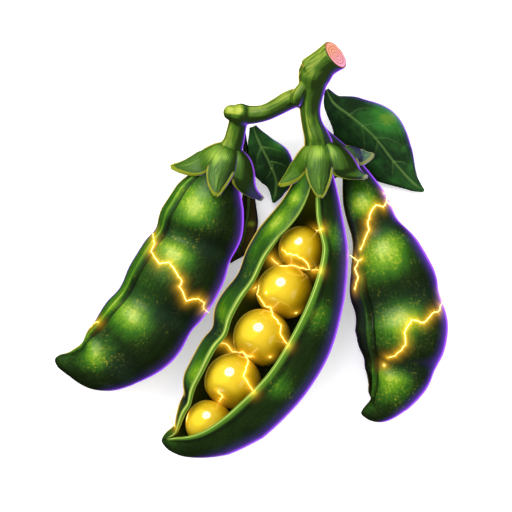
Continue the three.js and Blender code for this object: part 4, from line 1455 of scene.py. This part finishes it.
def calyx(name, shape, looks, material):
    """Five sepals that share a cap round the top of a pod."""
    columns, rows = SEPAL_GRID
    top = np.array(shape["top"])
    forward = unit(np.array(shape["towards"]) - top)
    across = unit(np.array([-forward[1], forward[0], 0.0]))
    up = np.cross(forward, across)
    radius, depth = shape["cap"]

    def cap(turn, share):
        share = np.asarray(share, float)
        flare = 1 + shape["flare"] * smooth(*FLARE_SPREAD, np.cos(turn - FLARE_TURN))
        out = radius * share ** CAP_OPENING * flare
        ahead = depth * share ** CAP_DEEPENING
        ring = across * np.cos(turn)[..., None] + up * np.sin(turn)[..., None]
        return top + forward * ahead[..., None] + ring * out[..., None]

    sheets = []
    sepals = zip(SEPAL_TURNS, shape["tips"], shape["breadths"], shape["twists"])
    for middle_turn, tip, broad, twists in sepals:
        sheet, side, run = add_sheet(skin_name(name), columns, rows)
        turn = middle_turn + side * HALF_SEPAL
        root = cap(np.array(middle_turn), 1.0)
        outward = unit(root - cap(np.array(middle_turn), CAP_BRIM))
        bend = root + outward * shape["lift"] * np.linalg.norm(np.array(tip) - root)
        past_cap = (run - CAP_SHARE) / (1 - CAP_SHARE)
        out = np.clip(past_cap, 0, 1)
        line = (root * ((1 - out) ** 2)[:, None] + bend * (2 * out * (1 - out))[:, None]
                + np.array(tip) * (out ** 2)[:, None])
        spread = (1 + SEPAL_SWELL * out) * (1 - out) ** SEPAL_TAPER + SEPAL_POINT * out
        on_cap = np.clip(run / CAP_SHARE, 0, 1)
        cap_middle = cap(np.full(len(turn), middle_turn), on_cap)
        spine = np.where((run <= CAP_SHARE)[:, None], cap_middle, line)
        twist = blend(*twists, smooth(-0.2, 0.2, side)) * smooth(*SEPAL_TWIST_FROM, past_cap)
        width = cap(turn, on_cap) - cap_middle
        width = turned_up(width, middle_turn, across, up, np.array(tip) - root, twist)
        points = spine + width * (spread * blend(1, broad, smooth(-0.3, 0.3, past_cap)))[:, None]
        move_points(sheet, points + SHIFT)
        mark(sheet, "side", side)
        mark(sheet, "run", run)
        mark_grain(sheet, side * 4.2 + middle_turn * 5, np.zeros(len(side)), run * 1.6)
        sheets.append(sheet)
    choose(*sheets)
    bpy.ops.object.join()
    piece = named(skin_name(name))
    merge_and_turn_out(piece, 0.02)
    piece.data.update()
    outwards = np.sum(normals_of(piece) * (points_of(piece) / MM - (top + SHIFT + forward * depth)), axis=1)
    if outwards.mean() < 0:
        edit_all(piece, bpy.ops.mesh.flip_normals)
    side, run = marked(piece, "side"), marked(piece, "run")
    free = smooth(CAP_SHARE, CAP_SHARE + 0.3, run)
    rim = smooth(*RIM_FROM, np.abs(side)) * smooth(CAP_SHARE, CAP_SHARE + 0.12, run)
    rim = rim + smooth(0.95, 1.0, run)
    keel = hump(side, KEEL_WIDTH) * smooth(CAP_SHARE, 0.5, run) * smooth(1.0, 0.8, run)
    hollow = SEPAL_HOLLOW * free * (1 - side ** 2)
    lift = looks.bead / MM * np.clip(rim, 0, 1) + KEEL_HEIGHT * keel - hollow
    move_points(piece, points_of(piece) / MM + normals_of(piece) * lift[:, None])
    mark(piece, "rim", np.clip(rim, 0, 1))
    mark(piece, "keel", keel)
    apply(piece, "SOLIDIFY", thickness=looks.thickness, offset=0.0, use_even_offset=False)
    apply(piece, "SUBSURF", levels=1, render_levels=1)
    mark_light(piece, violet=0.7)
    normals = normals_of(piece)
    lit = marked(piece, "lit")
    side, run, rim = marked(piece, "side"), marked(piece, "run"), marked(piece, "rim")
    # Painted shade in the notches between the sepals
    notch = smooth(0.6, 1.0, np.abs(side)) * hump(run - CAP_SHARE - 0.04, 0.08)
    beside = (points_of(piece) / MM - top - SHIFT) @ across
    near, far, strength = shape["violet"]
    flank = smooth(near, far, beside)
    over = smooth(-0.1, 0.4, normals[:, 2]) * strength
    mark(piece, "violet", np.maximum(marked(piece, "violet") * smooth(0, 0.3, flank), flank * over))
    mark(piece, "under", smooth(0.25, -0.25, normals[:, 2]))
    mark(piece, "rim", np.clip(rim, 0, 1) * smooth(-0.2, 0.3, normals[:, 2]))
    # A painted highlight on the dome where it faces the light, painted highlights at the shine spots, and
    # the tone: painted light where a sepal faces the light, darker towards its sides
    dome = hump(run - 0.5 * CAP_SHARE, 0.4 * CAP_SHARE) * smooth(0.8, 1.0, lit)
    shine = spots_at(points_of(piece) / MM, shape["shine"]) * smooth(0.2, 0.6, normals[:, 2])
    sepal_edge = smooth(0.3, 0.85, np.abs(side)) * smooth(0.3, 0.45, run)
    mark(piece, "tone", SEPAL_TONE["lit"] * smooth(SEPAL_TONE["lit from"], 1.0, lit)
         + SEPAL_TONE["dome"] * dome + SEPAL_TONE["shine"] * shine
         + SEPAL_TONE["keel"] * marked(piece, "keel") - SEPAL_TONE["notch"] * notch
         - SEPAL_TONE["edge"] * sepal_edge)
    settle(piece, material, "calyx", name)
    return piece


def leaf_skin(name, looks, edge, body, shade):
    """Green that turns to lime where the light falls, with pale veins."""
    recipe = Recipe(name, Coat_Roughness=0.35, Specular_IOR_Level=0.08, Coat_Weight=0.01)
    grain = recipe.mark_direction("grain")
    place = recipe.place()
    strokes = recipe.noise(grain, scale=1.6, detail=5.0, roughness=0.6)
    clouds = recipe.noise(place, scale=260.0, detail=4.0, roughness=0.6)
    tone = recipe.mark("tone") + (strokes - 0.5) * 0.3 + (clouds - 0.5) * 0.3
    skin = recipe.ramp(tone, [(0.1, shade), (0.5, body), (1.0, looks.lime)])
    return finish_skin(
        recipe, edge,
        Base_Color=recipe.mix(recipe.mark("vein"), skin, looks.vein),
        Roughness=0.42 + clouds * 0.15,
        Normal=recipe.bump(strokes * 0.5 + clouds * 0.5, strength=0.3, distance=0.0004),
    )


def distance_to_lines(points, lines):
    """How far each point lies from the nearest of some lines, seen from above, and the share along."""
    nearest = np.full(len(points), FAR_OFF)
    along = np.zeros(len(points))
    for line in lines:
        spots = Rail([(x, y, 0) for x, y in line]).at(np.linspace(0, 1, VEIN_SAMPLES))[:, :2]
        apart = np.linalg.norm(points[:, None, :2] - spots[None], axis=2)
        best = apart.min(axis=1)
        along = np.where(best < nearest, apart.argmin(axis=1) / (VEIN_SAMPLES - 1), along)
        nearest = np.minimum(nearest, best)
    return nearest, along


def leaf(name, looks, material, slot, violet=1.0):
    """A leaf along its midrib, with its veins standing in shallow folds."""
    rows = LEAVES[name]
    piece, side, run = add_sheet(skin_name(name), *LEAF_GRID)
    widths = Rail([(row[3], row[4], row[5]) for row in rows]).at(run)
    hang = Rail([(row[5], row[6], 0) for row in rows]).at(run)
    middle, forward, _, _ = frame_on(bare_middle(rows), run)
    right = unit(np.stack([forward[:, 1], -forward[:, 0], np.zeros(len(run))], axis=1))
    width = np.where(side < 0, widths[:, 0], widths[:, 1])
    drop = np.where(side < 0, hang[:, 0], hang[:, 1])
    points = middle + SHIFT + right * (side * width)[:, None]
    points[:, 2] -= drop * np.abs(side) ** LEAF_HANG
    apart, along = distance_to_lines(points, VEINS[name])
    vein = hump(apart, VEIN_WIDTH) * (1 - VEIN_FADE * along)
    rib = hump(side * width, RIB_WIDTH) * smooth(1.0, 0.85, run)
    body = smooth(0.05, 0.2, run) * smooth(1.0, 0.85, run) * smooth(1.0, 0.8, np.abs(side))
    puff = (1 - hump(apart, PUFF_FROM_VEIN)) * (1 - hump(side * width, PUFF_FROM_RIB))
    puff = LEAF_PUFF * puff * body
    points[:, 2] += puff + looks.vein_height / MM * vein * body + RIB_HEIGHT * rib * body
    move_points(piece, points)
    mark(piece, "side", side)
    mark(piece, "vein", np.clip(0.5 * vein * body + 0.65 * rib, 0, 1))
    # The palest patch is painted light
    patch_x, patch_y, patch_radius = LEAF_PATCHES[name]
    from_patch = np.hypot(points[:, 0] - patch_x, (points[:, 1] - patch_y) * PATCH_SQUEEZE)
    patch = hump(from_patch, patch_radius)
    mark(piece, "patch", patch)
    mark_grain(piece, side * 6, np.zeros(len(side)), run * 14)
    apply(piece, "SOLIDIFY", thickness=looks.thickness, offset=0.0)
    edit_all(piece, turn_out)
    mark_light(piece, gold=0.3)
    lit = marked(piece, "lit")
    on_top = smooth(0.0, 0.4, normals_of(piece)[:, 2])
    far_side = -marked(piece, "side")
    keep_share(piece, smooth(0.7, 0.95, np.abs(far_side)) * violet, "violet", "violet_line")
    for light, first, last, strength in (("violet", 0.78, 1.0, 0.3), ("violet_line", 0.94, 0.975, 1.0)):
        along_edge = smooth(first, last, far_side) * on_top * strength * violet
        mark(piece, light, np.maximum(marked(piece, light), along_edge))
    # The tone: painted light where the leaf faces the light and on its palest patch
    mark(piece, "tone", LEAF_TONE["base"] + LEAF_TONE["lit"] * smooth(LEAF_TONE["lit from"], 1.0, lit)
         + LEAF_TONE["patch"] * marked(piece, "patch"))
    settle(piece, material, slot, name)
    return piece


def crooked(line, seed):
    """Break a line into small uneven steps."""
    chance = random.Random(seed)
    places = [np.array(line[0])]
    for start, end in zip(line, line[1:]):
        start, end = np.array(start), np.array(end)
        steps = max(2, round(np.linalg.norm(end - start) / SPARK_STEP))
        off = unit(np.array([start[1] - end[1], end[0] - start[0]]))
        for number in range(1, steps + 1):
            away = chance.uniform(-SPARK_STRAY, SPARK_STRAY) if number < steps else 0.0
            places.append(blend(start, end, number / steps) + off * away)
    return places


def height_above(pieces):
    """A reader of the sprig's height at a place seen from above, in millimetres."""
    depsgraph = bpy.context.evaluated_depsgraph_get()
    trees = [BVHTree.FromObject(piece, depsgraph) for piece in pieces]

    def read(x, y):
        start = Vector((x * MM, y * MM, LOOK_DOWN_FROM))
        hits = [tree.ray_cast(start, Vector((0, 0, -1)))[0] for tree in trees]
        heights = [hit.z / MM for hit in hits if hit]
        return max(heights) if heights else None

    return read


def arc_heights(line, read):
    """The sprig's height under each point of a spark. Off the sprig, that of the nearest point on it."""
    heights = [read(*place) for place in line]
    known = [number for number, height in enumerate(heights) if height is not None]
    if not known:
        raise RuntimeError("a spark touches no piece of the sprig")
    return [heights[min(known, key=lambda spot: abs(spot - number))] if height is None else height
            for number, height in enumerate(heights)]


def make_arcs(pieces, looks):
    """The sparks: thin crooked threads that lie on the skin, and a bead of light at their ends."""
    read = height_above(pieces)
    radius = looks.arc_radius / MM
    threads, spots = [], []
    for number, line in enumerate(ARCS):
        places = crooked(line, number)
        heights = arc_heights(places, read)
        middles = [(x, y, height + radius * SPARK_LIFT) for (x, y), height in zip(places, heights)]
        shares = np.linspace(0, 1, len(places))
        radii = [radius * blend(SPARK_END, 1, math.sin(math.pi * share) ** 0.5) for share in shares]
        threads.append(thread_through("spark", middles, radii, roundness=2))
        spots += [(x, y, height) for (x, y), height in zip(places, heights)]
    for x, y in SPARK_DOTS:
        height = read(x, y)
        if height is None:
            raise RuntimeError("a bead of light touches no piece of the sprig")
        deselect()
        bpy.ops.mesh.primitive_ico_sphere_add(subdivisions=3, radius=radius * SPARK_DOT * MM,
                                              location=(x * MM, y * MM, height * MM))
        bpy.ops.object.transform_apply(location=True, rotation=True, scale=True)
        threads.append(bpy.context.object)
        spots.append((x, y, height))
    choose(*threads)
    bpy.ops.object.join()
    piece = named("sparks")
    merge_and_turn_out(piece)
    settle(piece, spark_light("spark light", looks), "glow")
    return np.array(spots)


def spark_light(name, looks):
    """White-hot light that flickers towards amber."""
    recipe = Recipe(name, Roughness=0.4)
    flicker = recipe.noise(recipe.place(), scale=900.0, detail=2.0, roughness=0.5)
    colour = recipe.mix(recipe.step(flicker, 0.35, 0.65) * 0.4, looks.arc_core, paint(SPARK_AMBER))
    return recipe.finish(Base_Color=colour, Emission_Color=colour, Emission_Strength=looks.arc_strength)


def warm_up(pieces, spots, reach):
    """Mark how near each point of the sprig lies to a spark, which sets the painted light that the sparks
    throw on the skin.
    """
    for piece in pieces:
        points = points_of(piece) / MM
        nearest = np.full(len(points), FAR_OFF)
        for first in range(0, len(spots), SPOTS_AT_ONCE):
            some = spots[None, first:first + SPOTS_AT_ONCE]
            nearest = np.minimum(nearest, np.linalg.norm(points[:, None, :] - some, axis=2).min(axis=1))
        halo = sum(strength * hump(nearest, reach * part) for strength, part in SPARK_HALO)
        mark(piece, "spark", np.clip(halo, 0, 1))


# The pieces of the sprig that are made so far
SPRIG = []


class STAGE_OT_build(bpy.types.Operator):
    """Lay the floor and place the camera and the lamps"""

    bl_idname = "pea_pod.stage"
    bl_label = "Stage"

    def execute(self, context):
        looks = context.scene.pea_pod_stage
        deselect()
        bpy.ops.mesh.primitive_plane_add(size=FLOOR_SIZE)
        floor = named("floor")
        recipe = Recipe("floor", Roughness=0.9, Specular_IOR_Level=0.1)
        recipe.finish(Base_Color=looks.floor, Emission_Color=WHITE, Emission_Strength=looks.table)
        floor.data.materials.append(recipe.material)
        floor.visible_glossy = False
        camera_data = bpy.data.cameras.new("camera")
        camera_data.sensor_width = SENSOR_WIDTH
        camera_data.lens = SENSOR_WIDTH * (CAMERA_HEIGHT - VIEW_LEVEL) / VIEW_WIDTH
        camera_data.clip_end = FARTHEST_SEEN
        camera = bpy.data.objects.new("camera", camera_data)
        camera.location = (*CAMERA_MIDDLE, CAMERA_HEIGHT)
        context.collection.objects.link(camera)
        context.scene.camera = camera
        for name, (way, distance, size) in LAMPS.items():
            lamp = self.lamp(context, name, way, distance, size, getattr(looks, name))
            lamp.visible_diffuse = name != "gloss"
        world = bpy.data.worlds.new("sky")
        world.use_nodes = True
        sky = world.node_tree.nodes["Background"]
        sky.inputs["Color"].default_value = (*WHITE, 1.0)
        sky.inputs["Strength"].default_value = looks.sky
        world.cycles_visibility.glossy = False
        context.scene.world = world
        context.scene.view_settings.view_transform = "Standard"
        return {"FINISHED"}

    def lamp(self, context, name, way, distance, size, power):
        data = bpy.data.lights.new(name, "AREA")
        data.shape = "DISK"
        data.size = size
        data.energy = power
        lamp = bpy.data.objects.new(name, data)
        lamp.location = Vector(way).normalized() * distance
        lamp.rotation_euler = Vector(way).to_track_quat("Z", "Y").to_euler()
        context.collection.objects.link(lamp)
        return lamp


class STEM_OT_build(bpy.types.Operator):
    """Grow the cut stem with its branch and stalks"""

    bl_idname = "pea_pod.stem"
    bl_label = "Stem"

    def execute(self, context):
        SPRIG.append(make_stem(context.scene.pea_pod_stem, context.scene.pea_pod_glow))
        return {"FINISHED"}


class CALYX_OT_build(bpy.types.Operator):
    """Grow the cap of sepals on each pod"""

    bl_idname = "pea_pod.calyxes"
    bl_label = "Calyxes"

    def execute(self, context):
        looks = context.scene.pea_pod_calyx
        material = sepal_skin("sepal skin", looks, context.scene.pea_pod_glow)
        for name, shape in CALYXES.items():
            SPRIG.append(calyx(name, shape, looks, material))
        return {"FINISHED"}


class PODS_OT_build(bpy.types.Operator):
    """Grow the two closed pods and the open one"""

    bl_idname = "pea_pod.pods"
    bl_label = "Pods"

    def execute(self, context):
        looks = context.scene.pea_pod_pod
        material = pod_skin("pod skin", looks, context.scene.pea_pod_glow)
        for name in CLOSED_PODS:
            SPRIG.append(closed_pod(name, looks, material))
        SPRIG.append(open_pod(looks, material))
        return {"FINISHED"}


class PEAS_OT_build(bpy.types.Operator):
    """Lay the row of peas in the open pod"""

    bl_idname = "pea_pod.peas"
    bl_label = "Peas"

    def execute(self, context):
        material = pea_skin("pea skin", context.scene.pea_pod_pea, context.scene.pea_pod_glow)
        for number in range(len(PEAS)):
            SPRIG.append(pea(number, material))
        return {"FINISHED"}


class LEAVES_OT_build(bpy.types.Operator):
    """Grow the leaves"""

    bl_idname = "pea_pod.leaves"
    bl_label = "Leaves"

    def execute(self, context):
        looks, edge = context.scene.pea_pod_leaf, context.scene.pea_pod_glow
        fresh = leaf_skin("leaf skin", looks, edge, looks.green, looks.deep)
        old = leaf_skin("old leaf skin", looks, edge, looks.old, paint(OLD_LEAF_SHADE))
        SPRIG.append(leaf("leaf_right", looks, fresh, "leaf"))
        SPRIG.append(leaf("leaf_left", looks, fresh, "leaf"))
        SPRIG.append(leaf("leaf_back", looks, old, "leaf_dark", 0.15))
        return {"FINISHED"}


class SPARKS_OT_build(bpy.types.Operator):
    """Lay the sparks over the sprig and light the skin round them"""

    bl_idname = "pea_pod.sparks"
    bl_label = "Sparks"

    def execute(self, context):
        looks = context.scene.pea_pod_glow
        warm_up(SPRIG, make_arcs(SPRIG, looks), looks.arc_reach / MM)
        return {"FINISHED"}


class PEA_POD_PT_panel(bpy.types.Panel):
    """The steps that build the sprig"""

    bl_idname = "PEA_POD_PT_panel"
    bl_label = "Pea Pod Sprig"
    bl_space_type = "VIEW_3D"
    bl_region_type = "UI"
    bl_category = "Pea Pod"

    def draw(self, context):
        for operator in OPERATORS:
            self.layout.operator(operator.bl_idname)


SETTINGS = {
    "pea_pod_stage": StageSettings,
    "pea_pod_stem": StemSettings,
    "pea_pod_calyx": CalyxSettings,
    "pea_pod_pod": PodSettings,
    "pea_pod_pea": PeaSettings,
    "pea_pod_leaf": LeafSettings,
    "pea_pod_glow": GlowSettings,
}
OPERATORS = [STAGE_OT_build, STEM_OT_build, CALYX_OT_build, PODS_OT_build, PEAS_OT_build, LEAVES_OT_build,
             SPARKS_OT_build]


def register():
    for name, settings in SETTINGS.items():
        bpy.utils.register_class(settings)
        setattr(bpy.types.Scene, name, bpy.props.PointerProperty(type=settings))
    for kind in [*OPERATORS, PEA_POD_PT_panel]:
        bpy.utils.register_class(kind)


def unregister():
    for kind in reversed([*OPERATORS, PEA_POD_PT_panel]):
        bpy.utils.unregister_class(kind)
    for name, settings in reversed(list(SETTINGS.items())):
        delattr(bpy.types.Scene, name)
        bpy.utils.unregister_class(settings)


def main():
    register()
    for operator in OPERATORS:
        getattr(bpy.ops.pea_pod, operator.bl_idname.split(".")[1])()


if __name__ == "__main__":
    main()
